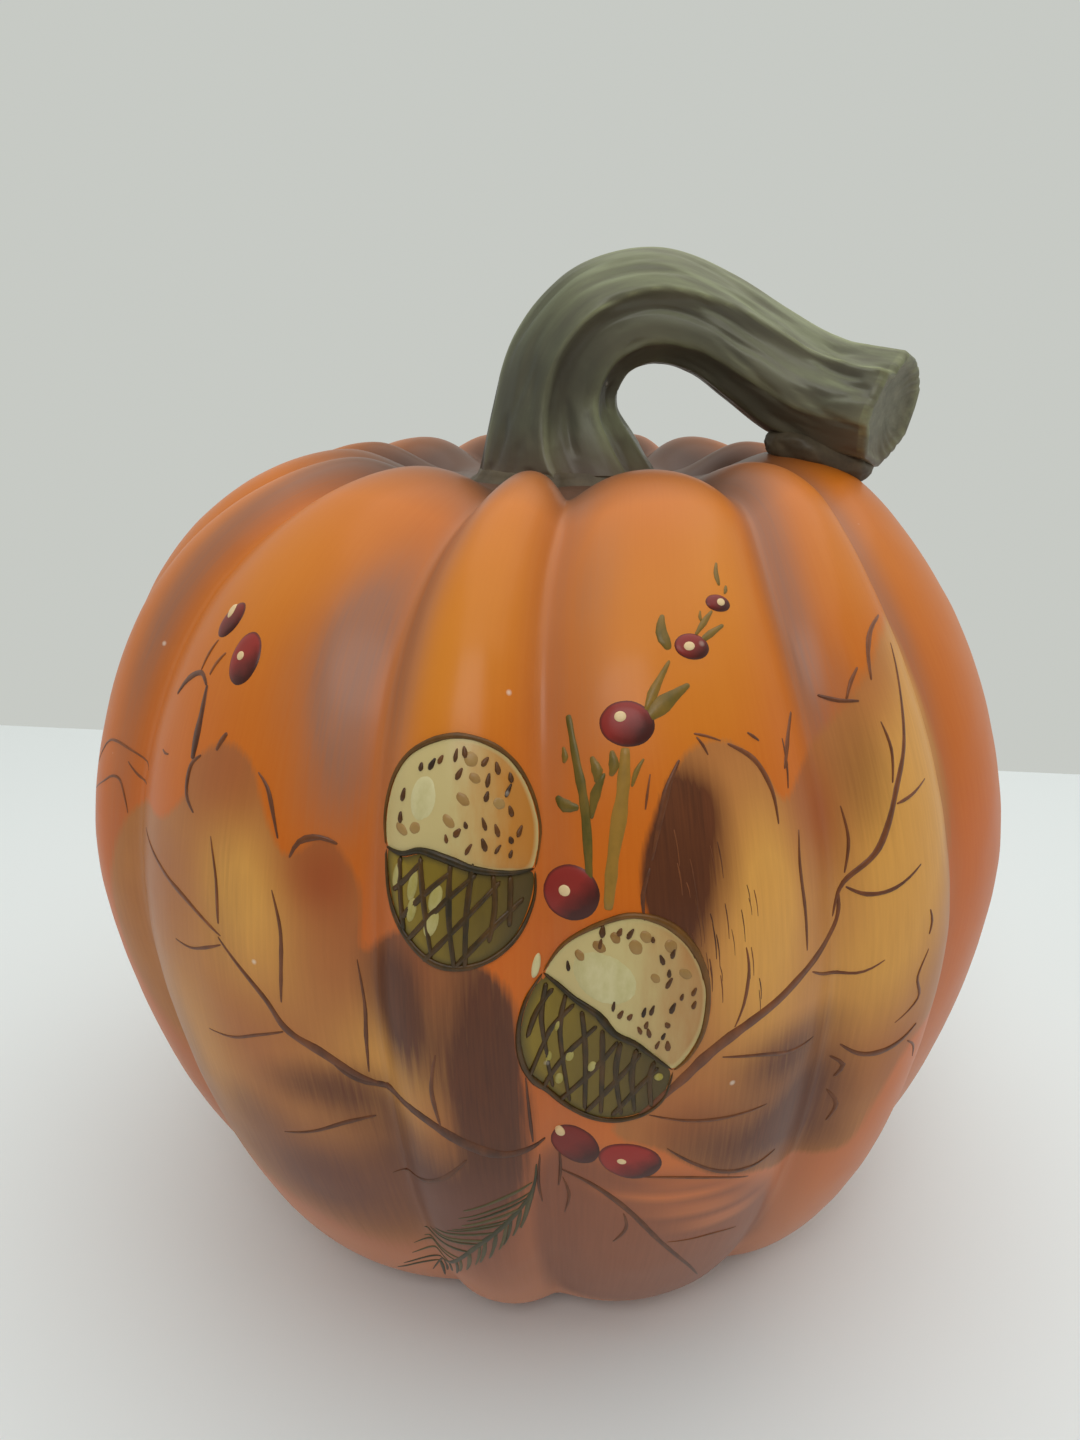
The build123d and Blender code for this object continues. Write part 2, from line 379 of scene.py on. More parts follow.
# What the brush and the airbrush left on the body, and a painted sheen on the upper ribs, held as masks on
# its skin.
# Places are an azimuth in degrees and a height of the rib crests in millimetres.
LEFT_LEAF = [
    (-56, 97), (-49, 103), (-43, 103), (-38.5, 108.5), (-38.5, 112.5), (-34, 117), (-30, 115), (-27, 107),
    (-25, 104), (-22, 107), (-20, 105.5), (-18, 99.5), (-18, 91), (-15, 94.5), (-12, 97), (-9, 95.5),
    (-4, 90), (-2.5, 80), (-2, 62), (-3, 50), (-9, 41), (-20, 26), (-32, 34), (-46, 38), (-57, 52), (-60, 75),
]
RIGHT_LEAF = [
    (6, 64), (11, 76), (14.5, 86), (12, 93), (9, 100), (9, 107), (11, 114), (14, 119.5), (18, 120.5),
    (21.5, 117), (24, 112), (27, 115), (31, 119), (36, 124), (43, 130), (51, 133), (52.5, 120), (53, 100),
    (50, 82), (46, 70), (41, 66), (38, 56), (36, 46), (30, 44), (22, 50), (16, 54), (11, 60),
]
DUSKY_LEAF = [
    (-1, 56), (4, 58), (9, 55), (14, 54), (21, 49), (27, 40), (31, 20), (27, 10), (18, 9), (8, 10), (0, 12),
    (-3, 30), (-3, 45),
]
# Azimuth, height, half width and half height in mm, and strength, of each soft patch.
UMBER_PATCHES = [
    (-14, 87, 5, 9, 1.1), (-12.5, 77, 5, 7, 0.5), (-5.5, 79, 5.5, 15, 1.3), (-4.5, 62, 5.5, 10, 1.2),
    (-23, 66, 9, 4, 0.75), (-17, 60, 9, 4, 0.55), (-9, 50, 10, 7, 0.85), (-16, 50, 9, 6, 0.55),
    (-12, 38, 6, 6, 0.8), (-27, 47, 6, 4, 0.45), (-33, 57, 6, 5, 0.4),
    (10.8, 101, 4.5, 13, 1.5), (14, 107, 4.5, 8, 0.8), (13.5, 113, 4, 4, 0.6), (22, 67, 8, 8, 0.5),
    (13.5, 63, 5, 5, 0.45), (29, 60, 7, 9, 0.9), (25, 74, 9, 4, 0.55), (20, 56, 10, 6, 0.75),
    (31, 48, 7, 5, 0.5), (35, 112, 4, 8, 0.35), (-42, 60, 4, 18, 0.2), (-32, 95, 4, 10, 0.2),
]
SIENNA_PATCHES = [
    (-33, 113, 9, 7, 0.8), (-22, 103, 6, 6, 0.95), (-21, 93, 5, 10, 0.5), (-13, 93, 7, 6, 0.75),
    (-44, 90, 9, 12, 0.35), (-30, 76, 7, 9, 0.5), (28, 113, 5, 9, 0.85), (30, 105, 3, 7, 0.5),
    (38, 126, 7, 7, 0.5), (12, 66, 7, 6, 0.5), (40, 62, 6, 8, 0.4), (-10, 66, 5, 5, 0.4),
]
GOLD_PATCHES = [
    (-29, 92, 7, 12, 0.8), (-31, 101, 6, 8, 0.5), (-15, 72, 8, 9, 0.75), (-40, 68, 9, 16, 0.5),
    (20, 90, 8, 12, 0.9), (21, 103, 5, 9, 0.8), (38, 96, 10, 14, 1.1), (44, 112, 9, 12, 1.1),
    (48, 124, 6, 8, 0.7), (33, 80, 8, 8, 0.6),
]
SMOKE_PATCHES = [
    (-22.5, 131, 3.5, 9, 0.95), (-20.5, 122, 4.5, 10, 0.75), (-19, 138, 4, 7, 0.6), (-26, 128, 5, 10, 0.35),
    (-21, 112, 6, 7, 0.35), (4, 127, 4, 12, 0.35), (5, 142, 4, 6, 0.3), (34, 124, 3, 7, 0.5),
]
DUSKY_PATCHES = [
    (-8, 47, 9, 8, 0.8), (-19, 39, 15, 13, 1.0), (-32, 46, 13, 11, 0.9), (-6, 30, 8, 12, 0.65),
    (30, 55, 8, 8, 0.5), (-46, 60, 7, 14, 0.35),
]
# Painted sheen: lighter, yellower patches where light glances off the upper ribs.
RIB_SHEEN_PATCHES = [
    (-8, 135, 7, 14, 0.9), (-12, 125, 5, 12, 0.5), (7, 134, 5, 12, 0.4), (16, 132, 9, 14, 0.8),
    (22, 141, 5, 8, 0.6), (-36, 138, 9, 10, 0.6), (42, 140, 7, 8, 0.4),
]
ORANGE_GAPS = [
    (13, 49.5, 9, 1.3, 1.0), (16, 45.5, 8, 1.1, 0.9), (19, 41, 7, 1.2, 0.8), (14, 53, 6, 0.8, 0.6),
]
# By the azimuth of its groove: how far each airbrushed band is off it, in band
# widths, and how strong it is.
GROOVE_BANDS = {-54.0: (-1.5, 1.0), -17.0: (0.6, 0.85), 0.0: (0.5, 0.5), 30.5: (0.4, 1.0), 51.5: (0.5, 0.8)}
OTHER_BAND = (0.0, 0.8)
BAND_WIDTH = 3.4
PATCH_EDGE = 1.3           # how flat a patch is in its middle, and how soon it fades
PATCH_FADE = 0.7
FULLEST_PATCH = 1.3

rows = np.array([vertex[row_layer] for vertex in body_mesh.verts])
skin_azimuth = np.array([vertex[azimuth_layer] for vertex in body_mesh.verts])
skin_height = np.array([level.height for level in levels])[rows]
skin_radius = np.array([level.radius for level in levels])[rows]
is_front = (rows < len(outer_levels)) & (skin_radius > RIM_RADIUS)


def soft_patches(patches):
    """Airbrushed spots, each fading out from its middle."""
    cover = np.zeros(len(rows))
    for azimuth, height, half_width, half_height, strength in patches:
        across = np.radians(skin_azimuth - azimuth) * skin_radius / half_width
        up = (skin_height - height) / half_height
        cover += strength * np.exp(-PATCH_FADE * (across ** 2 + up ** 2) ** PATCH_EDGE)
    return np.clip(cover, 0.0, FULLEST_PATCH) * is_front


def inside_outline(outline, softness):
    """How far inside a painted outline each point lies, from 0 to 1 across a soft edge."""
    across = np.radians(skin_azimuth) * BELLY_RADIUS
    line = smooth_line(outline, 6, closed=True)
    corners = [(math.radians(azimuth) * BELLY_RADIUS, height) for azimuth, height in line]
    nearest = np.full(len(rows), 1e9)
    inside = np.zeros(len(rows), bool)
    for (ax, ay), (bx, by) in zip(corners, corners[1:] + corners[:1]):
        length = (bx - ax) ** 2 + (by - ay) ** 2
        along = np.clip(((across - ax) * (bx - ax) + (skin_height - ay) * (by - ay)) / length, 0.0, 1.0)
        gap = np.hypot(across - ax - along * (bx - ax), skin_height - ay - along * (by - ay))
        nearest = np.minimum(nearest, gap)
        crosses = (ay > skin_height) != (by > skin_height)
        reach = ax + (skin_height - ay) * (bx - ax) / (by - ay if by != ay else 1e-9)
        inside ^= crosses & (across < reach)
    depth = np.where(inside, nearest, -nearest)
    share = np.clip(0.5 + 0.5 * depth / softness, 0.0, 1.0)
    return share * share * (3.0 - 2.0 * share) * is_front


def smooth_line(points, steps, closed=False):
    """A smooth line through given points."""
    last = len(points)
    line = []
    for index in range(last if closed else last - 1):
        if closed:
            four = [Vector(points[(index + offset) % last]) for offset in (-1, 0, 1, 2)]
        else:
            four = [Vector(points[min(max(index + offset, 0), last - 1)]) for offset in (-1, 0, 1, 2)]
        before, start, end, after = four
        for step in range(steps):
            t = step / steps
            bend = (2 * start + (end - before) * t + (2 * before - 5 * start + 4 * end - after) * t ** 2
                    + (3 * start - before - 3 * end + after) * t ** 3)
            line.append(0.5 * bend)
    if not closed:
        line.append(Vector(points[-1]))
    return line


# The left leaf is crisp at its top and melts away below. The right one softens to the right.
left_edge = np.interp(skin_height, [35, 70, 95], [9.0, 3.5, 1.6])
right_edge = np.interp(skin_azimuth, [24, 38], [1.3, 2.6])
left_leaf = inside_outline(LEFT_LEAF, left_edge)
right_leaf = inside_outline(RIGHT_LEAF, right_edge)
dusky_leaf = inside_outline(DUSKY_LEAF, 3.0) * (1.0 - soft_patches(ORANGE_GAPS).clip(0, 1))
dusky_leaf = np.maximum(dusky_leaf, soft_patches(DUSKY_PATCHES))
groove_wash = np.zeros(len(rows))
for groove in GROOVE_AZIMUTHS:
    offset, strength = GROOVE_BANDS.get(groove, OTHER_BAND)
    gap = (skin_azimuth - groove + 180.0) % 360.0 - 180.0
    across = np.radians(gap) * skin_radius - offset * BAND_WIDTH
    groove_wash = np.maximum(groove_wash, strength * np.exp(-(across / BAND_WIDTH) ** 2))
groove_wash *= np.interp(skin_height, [40, 90, 112, 128], [0.35, 0.35, 0.6, 1.0])
groove_wash *= rows < len(outer_levels)
rim_wash = np.interp(skin_radius, [33, 41, 54], [1.0, 0.7, 0.0]) * (skin_height > BELLY_HEIGHT)
masks = {
    "leaf": np.maximum(left_leaf, right_leaf),
    "umber": soft_patches(UMBER_PATCHES),
    "sienna": soft_patches(SIENNA_PATCHES),
    "gold": soft_patches(GOLD_PATCHES),
    "rib_sheen": soft_patches(RIB_SHEEN_PATCHES),
    "dusky": dusky_leaf,
    "smoke": np.clip(np.maximum(groove_wash, soft_patches(SMOKE_PATCHES)), 0, 1),
    "rim": rim_wash,
    "bare": (rows >= len(outer_levels)).astype(float),
}

# Surface coordinates for the streaks of the brush: along the girth and up, in metres.
brush_lay = body_mesh.loops.layers.uv.new("brush_lay")
for face in body_mesh.faces:
    for loop in face.loops:
        azimuth = loop.vert[azimuth_layer]
        height = levels[loop.vert[row_layer]].height
        loop[brush_lay].uv = (math.radians(azimuth) * 0.001 * BELLY_RADIUS, 0.001 * height)


def new_group(name, inputs, outputs):
    """An empty shader node group with named inputs and outputs."""
    group = bpy.data.node_groups.new(name, "ShaderNodeTree")
    for label, kind, value in inputs:
        socket = group.interface.new_socket(label, in_out="INPUT", socket_type=kind)
        if value is not None:
            socket.default_value = value
    for label, kind in outputs:
        group.interface.new_socket(label, in_out="OUTPUT", socket_type=kind)
    return group, group.nodes.new("NodeGroupInput"), group.nodes.new("NodeGroupOutput")


def grainy(tree, where, scale, detail, **more):
    """Even noise from 0 to 1."""
    inputs = {"Vector": where, "Scale": scale, "Detail": detail, **more}
    return shade(tree, "ShaderNodeTexNoise", inputs).outputs["Fac"]


# Streaks that a bristle brush leaves along its stroke, and where they run thin.
bristle, given, result = new_group(
    "bristle_streaks",
    [("Vector", "NodeSocketVector", None), ("Stretch", "NodeSocketVector", (900.0, 60.0, 900.0))],
    [("Streak", "NodeSocketFloat"), ("Cloud", "NodeSocketFloat")],
)
where = given.outputs["Vector"]
inputs = {0: where, 1: given.outputs["Stretch"]}
stretched = shade(bristle, "ShaderNodeVectorMath", inputs, operation="MULTIPLY")
streak = grainy(bristle, stretched.outputs[0], 1.0, 4.0, Roughness=0.6)
cloud = grainy(bristle, where, 38.0, 3.0)
bristle.links.new(spread(bristle, streak, 0.3, 0.7), result.inputs["Streak"])
bristle.links.new(spread(bristle, cloud, 0.3, 0.7), result.inputs["Cloud"])

# The clear varnish: faint orange peel, brush laps and a few trapped specks of dust.
varnish, given, result = new_group(
    "clear_varnish",
    [
        ("Vector", "NodeSocketVector", None), ("Peel", "NodeSocketFloat", 0.6),
        ("Specks", "NodeSocketFloat", 0.4),
    ],
    [("Height", "NodeSocketFloat"), ("Speck", "NodeSocketFloat")],
)
where = given.outputs["Vector"]
peel = grainy(varnish, where, 210.0, 3.0)
laps = grainy(varnish, where, 45.0, 2.0)
dust = shade(varnish, "ShaderNodeTexVoronoi", {"Vector": where, "Scale": 190.0})
chance = shade(varnish, "ShaderNodeSeparateColor", {0: dust.outputs["Color"]}).outputs[0]
is_dust = count(varnish, "GREATER_THAN", chance, 0.965)
near = spread(varnish, dust.outputs["Distance"], 0.04, 0.10, 1.0, 0.0)
speck = count(varnish, "MULTIPLY", near, is_dust)
lapped = count(varnish, "MULTIPLY", laps, 1.2)
peeled = count(varnish, "MULTIPLY", peel, given.outputs["Peel"])
raised = count(varnish, "MULTIPLY", speck, given.outputs["Specks"])
total = count(varnish, "ADD", count(varnish, "ADD", lapped, peeled), raised)
varnish.links.new(total, result.inputs["Height"])
varnish.links.new(speck, result.inputs["Speck"])


def mask(tree, name):
    """A mask that is kept on the mesh."""
    return shade(tree, "ShaderNodeAttribute", attribute_name=name).outputs["Fac"]


def object_place(tree):
    """The place on the object, in metres."""
    return shade(tree, "ShaderNodeTexCoord").outputs["Object"]


def bristled(tree, stretch, where=None):
    """How streaky and how cloudy the paint is. The streaks run along the least stretched way."""
    if where is None:
        where = object_place(tree)
    group = shade(tree, "ShaderNodeGroup", {"Vector": where, "Stretch": stretch}, node_tree=bristle)
    return group.outputs["Streak"], group.outputs["Cloud"]


def varnished(tree, surface, colour, coat, rough, relief=0.00012, specks=0.5):
    """Wires a paint colour under the clear varnish."""
    inputs = {"Vector": object_place(tree), "Specks": specks}
    film = shade(tree, "ShaderNodeGroup", inputs, node_tree=varnish)
    dusted = mix(tree, film.outputs["Speck"], colour, tint(240, 228, 210), specks)
    tree.links.new(dusted, surface.inputs["Base Color"])
    inputs = {"Height": film.outputs["Height"], "Strength": 0.35, "Distance": relief}
    bump = shade(tree, "ShaderNodeBump", inputs)
    tree.links.new(bump.outputs["Normal"], surface.inputs["Normal"])
    surface.inputs["Roughness"].default_value = rough
    surface.inputs["Coat Weight"].default_value = coat
    surface.inputs["Coat Roughness"].default_value = 0.27
    surface.inputs["Specular IOR Level"].default_value = 0.2
    surface.inputs["Coat IOR"].default_value = 1.5


painted_body, tree, surface = new_material("painted_body")
lay = shade(tree, "ShaderNodeUVMap", uv_map="brush_lay").outputs["UV"]
streak, cloud = bristled(tree, (1700.0, 75.0, 1.0), lay)
up = shade(tree, "ShaderNodeSeparateXYZ", {0: lay}).outputs["Y"]
# Yellower higher up the ribs: painted light from above.
upper_rib_light = spread(tree, up, 0.095, 0.138)
orange = mix(tree, upper_rib_light, tint(204, 98, 2), tint(203, 110, 8))
# Paler and pinker towards the foot: painted reflection of the pale table in the varnish.
orange = mix(tree, spread(tree, up, 0.075, 0.020), orange, tint(198, 130, 96))
orange = mix(tree, cloud, orange, tint(182, 84, 14), 0.22)
orange = mix(tree, streak, orange, tint(226, 140, 44), 0.10)
# Painted sheen on the upper ribs, from the patches above.
orange = mix(tree, mask(tree, "rib_sheen"), orange, tint(220, 138, 30), 0.5)
smoky = count(tree, "MULTIPLY", mask(tree, "smoke"), spread(tree, streak, 0.0, 1.0, 0.72, 0.98))
colour = mix(tree, smoky, orange, tint(152, 104, 80))
broken = count(tree, "ADD", mask(tree, "leaf"), spread(tree, streak, 0.0, 1.0, -0.12, 0.12))
leaf_cover = spread(tree, broken, 0.25, 0.75)
ochre = mix(tree, cloud, tint(172, 108, 54), tint(188, 124, 64))
ochre = mix(tree, mask(tree, "gold"), ochre, tint(222, 162, 76))
ochre = mix(tree, mask(tree, "sienna"), ochre, tint(156, 74, 34), 0.75)
brushed = count(tree, "MULTIPLY", mask(tree, "umber"), spread(tree, streak, 0.0, 1.0, 0.78, 1.16))
brushed = count(tree, "MULTIPLY", brushed, spread(tree, cloud, 0.0, 1.0, 0.78, 1.14))
smoked = mix(tree, streak, tint(56, 29, 16), tint(92, 45, 23), cloud)
ochre = mix(tree, spread(tree, brushed, 0.05, 0.92), ochre, smoked)
ochre = mix(tree, streak, ochre, tint(120, 70, 34), 0.14)
colour = mix(tree, leaf_cover, colour, ochre, 0.92)
dusky = count(tree, "MULTIPLY", mask(tree, "dusky"), spread(tree, streak, 0.0, 1.0, 0.68, 0.78))
colour = mix(tree, dusky, colour, tint(112, 68, 52))
colour = mix(tree, mask(tree, "rim"), colour, tint(80, 58, 46), 0.92)
colour = mix(tree, mask(tree, "bare"), colour, tint(196, 178, 158))
varnished(tree, surface, colour, coat=0.34, rough=0.55)

body_piece = finish_mesh(body_mesh, "pumpkin_body_painted", painted_body)
for name, values in masks.items():
    attribute = body_piece.data.attributes.new(name, "FLOAT", "POINT")
    attribute.data.foreach_set("value", values.astype(np.float32))
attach(body_piece, "root")
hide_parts("pumpkin_body")


# ---- Brushwork: strokes and daubs of paint --------------------------------
# The leaves, acorns, berries and twigs are painted over the airbrushed colour
# with thick acrylic, so each stroke stands a little proud of the body.
STROKE_LIFT = 0.14         # how far a stroke stands out, and how far its back is sunk in
STROKE_SUNK = 0.25
STROKE_STEP = 1.0          # spacing of the points along a stroke
STROKE_WAVER = 0.22        # how much its width varies
# Across a stroke, from edge to edge and back below: in half widths, and in lifts or depths.
STROKE_SECTION = [(-1.0, -1.0), (-0.62, 0.72), (0.0, 1.0), (0.62, 0.72), (1.0, -1.0), (0.0, -1.3)]
# Where the rings of points of a daub lie, from its centre to its edge.
DAUB_RINGS = [0.0, 0.2, 0.4, 0.6, 0.75, 0.87, 0.94, 0.98, 1.0]


def brush_frame(azimuth, height):
    """The point of the skin where the brush stands, and the direction straight out of it."""
    level = level_at(height)
    point = on_body(azimuth, level)
    across = on_body(azimuth + 0.3, level) - point
    upward = on_body(azimuth, level_at(height + 0.3)) - point
    return point, across.cross(upward).normalized()


def beside(azimuth, height, across, upward):
    """The place some millimetres across and up the skin from another."""
    level = level_at(height)
    return azimuth + math.degrees(across / level.radius), height + upward * max(0.25, level.out)


def new_paint():
    """A bmesh for strokes of one paint. Each point keeps its shade and its place in its daub."""
    paint = bmesh.new()
    for name in ("shade", "across", "upward", "edge"):
        paint.verts.layers.float.new(name)
    return paint


def wrap_grid(paint, columns, rows, place, marks):
    """Wraps a flat grid round a shape, given the place and the marks of each column and row."""
    grid = bmesh.ops.create_grid(paint, x_segments=columns, y_segments=rows, size=0.5)["verts"]
    for vertex in grid:
        column = round((vertex.co.x + 0.5) * columns)
        row = round((vertex.co.y + 0.5) * rows)
        vertex.co = place(column, row)
        for name, value in marks(column, row).items():
            vertex[paint.verts.layers.float[name]] = value
    bmesh.ops.remove_doubles(paint, verts=grid, dist=0.0005)


def brush_stroke(paint, path, width, tone=0.5, swell=0.4, blunt=0.55, over=0.0):
    """A stroke along a path, widest at a share of its length. A small blunt keeps its ends broad.

    Over is the thickness of the paint that it lies on.
    """
    run = sum(math.hypot((b[0] - a[0]) * 1.5, b[1] - a[1]) for a, b in zip(path, path[1:]))
    line = smooth_line(path, max(3, round(run / (len(path) - 1) / STROKE_STEP)))
    frames = [brush_frame(azimuth, height) for azimuth, height in line]
    last = len(frames) - 1

    def place(column, row):
        point, normal = frames[row]
        if row in (0, last):
            return point + normal * (over - STROKE_SUNK)
        along = frames[min(last, row + 1)][0] - frames[max(0, row - 1)][0]
        side = along.cross(normal).normalized()
        share = row / last
        taper = min(share / swell, (1.0 - share) / (1.0 - swell), 1.0) ** blunt
        half = 0.5 * width * taper * (1.0 + STROKE_WAVER * noise.noise(point * 0.45))
        across, rise = STROKE_SECTION[column % len(STROKE_SECTION)]
        height = min(STROKE_LIFT, 0.5 * half) * rise if rise > 0 else STROKE_SUNK * rise
        return point + side * (half * across) + normal * (over + height)

    wrap_grid(paint, len(STROKE_SECTION), last, place, lambda column, row: {"shade": tone})


def daub(paint, centre, outline, lift=STROKE_LIFT, tone=0.5, steps=6):
    """A filled patch of paint with a rounded edge, spread from its centre to an outline."""
    edge = smooth_line(outline, steps, closed=True)
    middle = Vector(centre)
    last = len(DAUB_RINGS) - 1
    half_width = max(abs(point.x - middle.x) for point in edge)
    half_height = max(abs(point.y - middle.y) for point in edge)

    def ring_share(row):
        return DAUB_RINGS[row if row <= last else 2 * last + 1 - row]

    def spot(column, row):
        return middle + (edge[column % len(edge)] - middle) * ring_share(row)

    def place(column, row):
        point, normal = brush_frame(*spot(column, row))
        share = ring_share(row)
        under = row > last
        return point + normal * (-STROKE_SUNK if under else lift * (1.0 - share ** 6) - 0.05 * share)

    def marks(column, row):
        where = spot(column, row) - middle
        return {
            "shade": tone,
            "across": where.x / half_width,
            "upward": where.y / half_height,
            "edge": ring_share(row),
        }

    wrap_grid(paint, len(edge), 2 * last + 1, place, marks)


def oval(azimuth, height, half_width, half_height, tilt=0.0, corners=8):
    """The outline of a berry or a dot, its half sizes in mm. Fewer corners make it blockier."""
    turn = math.radians(tilt)
    places = []
    for corner in range(corners):
        angle = math.radians(360.0 * corner / corners)
        x = half_width * math.cos(angle)
        y = half_height * math.sin(angle)
        across = x * math.cos(turn) - y * math.sin(turn)
        upward = x * math.sin(turn) + y * math.cos(turn)
        places.append(beside(azimuth, height, across, upward))
    return places


def finish_paint(paint, name, material):
    """Makes a piece of the strokes of one paint."""
    bmesh.ops.recalc_face_normals(paint, faces=paint.faces)
    piece = finish_mesh(paint, name, material)
    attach(piece, "root")


def paint_strokes(name, material, strokes):
    """Makes a piece of a list of strokes, each a width, a shade, where it is widest, and a path."""
    paint = new_paint()
    for width, tone, swell, path in strokes:
        brush_stroke(paint, path, width, tone, swell)
    finish_paint(paint, name, material)


def line_paint(name, low, high):
    """A stroke paint that runs from one colour to another by its shade."""
    material, tree, surface = new_material(name)
    streak = bristled(tree, (500.0, 500.0, 260.0))[0]
    blotchy = count(tree, "SUBTRACT", count(tree, "MULTIPLY", streak, 0.4), 0.2)
    tone = count(tree, "ADD", mask(tree, "shade"), blotchy, clamp=True)
    varnished(tree, surface, mix(tree, tone, low, high), coat=0.3, rough=0.5, specks=0.2)
    return material


umber_line = line_paint("umber_line", tint(76, 42, 24), tint(146, 82, 38))
olive_line = line_paint("olive_line", tint(78, 72, 20), tint(154, 114, 42))


# ---- Left leaf ------------------------------------------------------------
# A large oak leaf across the left ribs. Its fill is airbrushed; the midrib,
# the side veins and the parts of its edge that show are brushed in umber.
LEFT_LEAF_STROKES = [
    # width in mm, shade, where it is widest, then its path
    (1.1, 0.55, 0.6, [(-49, 99), (-42, 95.5), (-37, 93), (-32, 89.5)]),
    (2.0, 0.35, 0.6, [(-33, 90), (-28, 82), (-26, 76.5), (-23, 73), (-19, 67.5), (-16, 66.5)]),
    (2.7, 0.15, 0.45, [(-22, 71), (-19, 67), (-12.5, 66), (-8, 62.5), (-5, 60), (-2, 59), (-0.5, 59.5)]),
    (0.8, 0.45, 0.7, [(-34, 104.5), (-32.8, 98), (-32.5, 91)]),
    (0.9, 0.35, 0.7, [(-26.5, 99), (-25.5, 92), (-26, 80.5)]),
    (0.9, 0.3, 0.6, [(-18.5, 90), (-18, 82), (-18.3, 75), (-18.6, 68.5)]),
    (1.0, 0.3, 0.6, [(-10, 79), (-10.8, 72), (-10.3, 65)]),
    (0.8, 0.1, 0.6, [(-2.2, 74), (-2, 66), (-1.8, 59.5)]),
    (0.8, 0.4, 0.7, [(-40, 85.5), (-37, 85.5), (-34.5, 86.8), (-32, 88.5)]),
    (0.8, 0.4, 0.7, [(-37, 71), (-33, 71.8), (-29.5, 74), (-26, 76)]),
    (1.1, 0.25, 0.7, [(-30, 54), (-26, 55.8), (-22, 58.5), (-18.5, 60)]),
    (1.1, 0.2, 0.7, [(-19, 46), (-14, 50), (-10.5, 54.5), (-8, 59.5)]),
    (1.2, 0.3, 0.5, [(-36.5, 106), (-38.3, 108.5), (-38.4, 112.5), (-36.8, 114.6)]),
    (1.4, 0.4, 0.4, [(-33.8, 118.5), (-34.5, 117), (-35, 115.3)]),
    (0.9, 0.35, 0.5, [(-29.3, 114.5), (-27.8, 112.5), (-26.8, 109), (-26, 105.5)]),
    (1.3, 0.3, 0.5, [(-25, 103), (-24, 106), (-22, 107), (-20, 106.2)]),
    (0.7, 0.6, 0.5, [(-65, 101.5), (-61.5, 107), (-59, 108.5), (-55.5, 108), (-52, 106.5)]),
    (0.7, 0.6, 0.5, [(-65, 97), (-61, 100.5), (-59, 102.5), (-57.5, 102.5), (-56.5, 99.5), (-56, 97)]),
    (0.6, 0.6, 0.5, [(-57, 106.5), (-55, 104.5), (-52.5, 104)]),
    (0.6, 0.5, 0.5, [(-45.5, 112.8), (-44.3, 112.4), (-43.2, 112.6)]),
]
paint_strokes("left_leaf_veins", umber_line, LEFT_LEAF_STROKES)


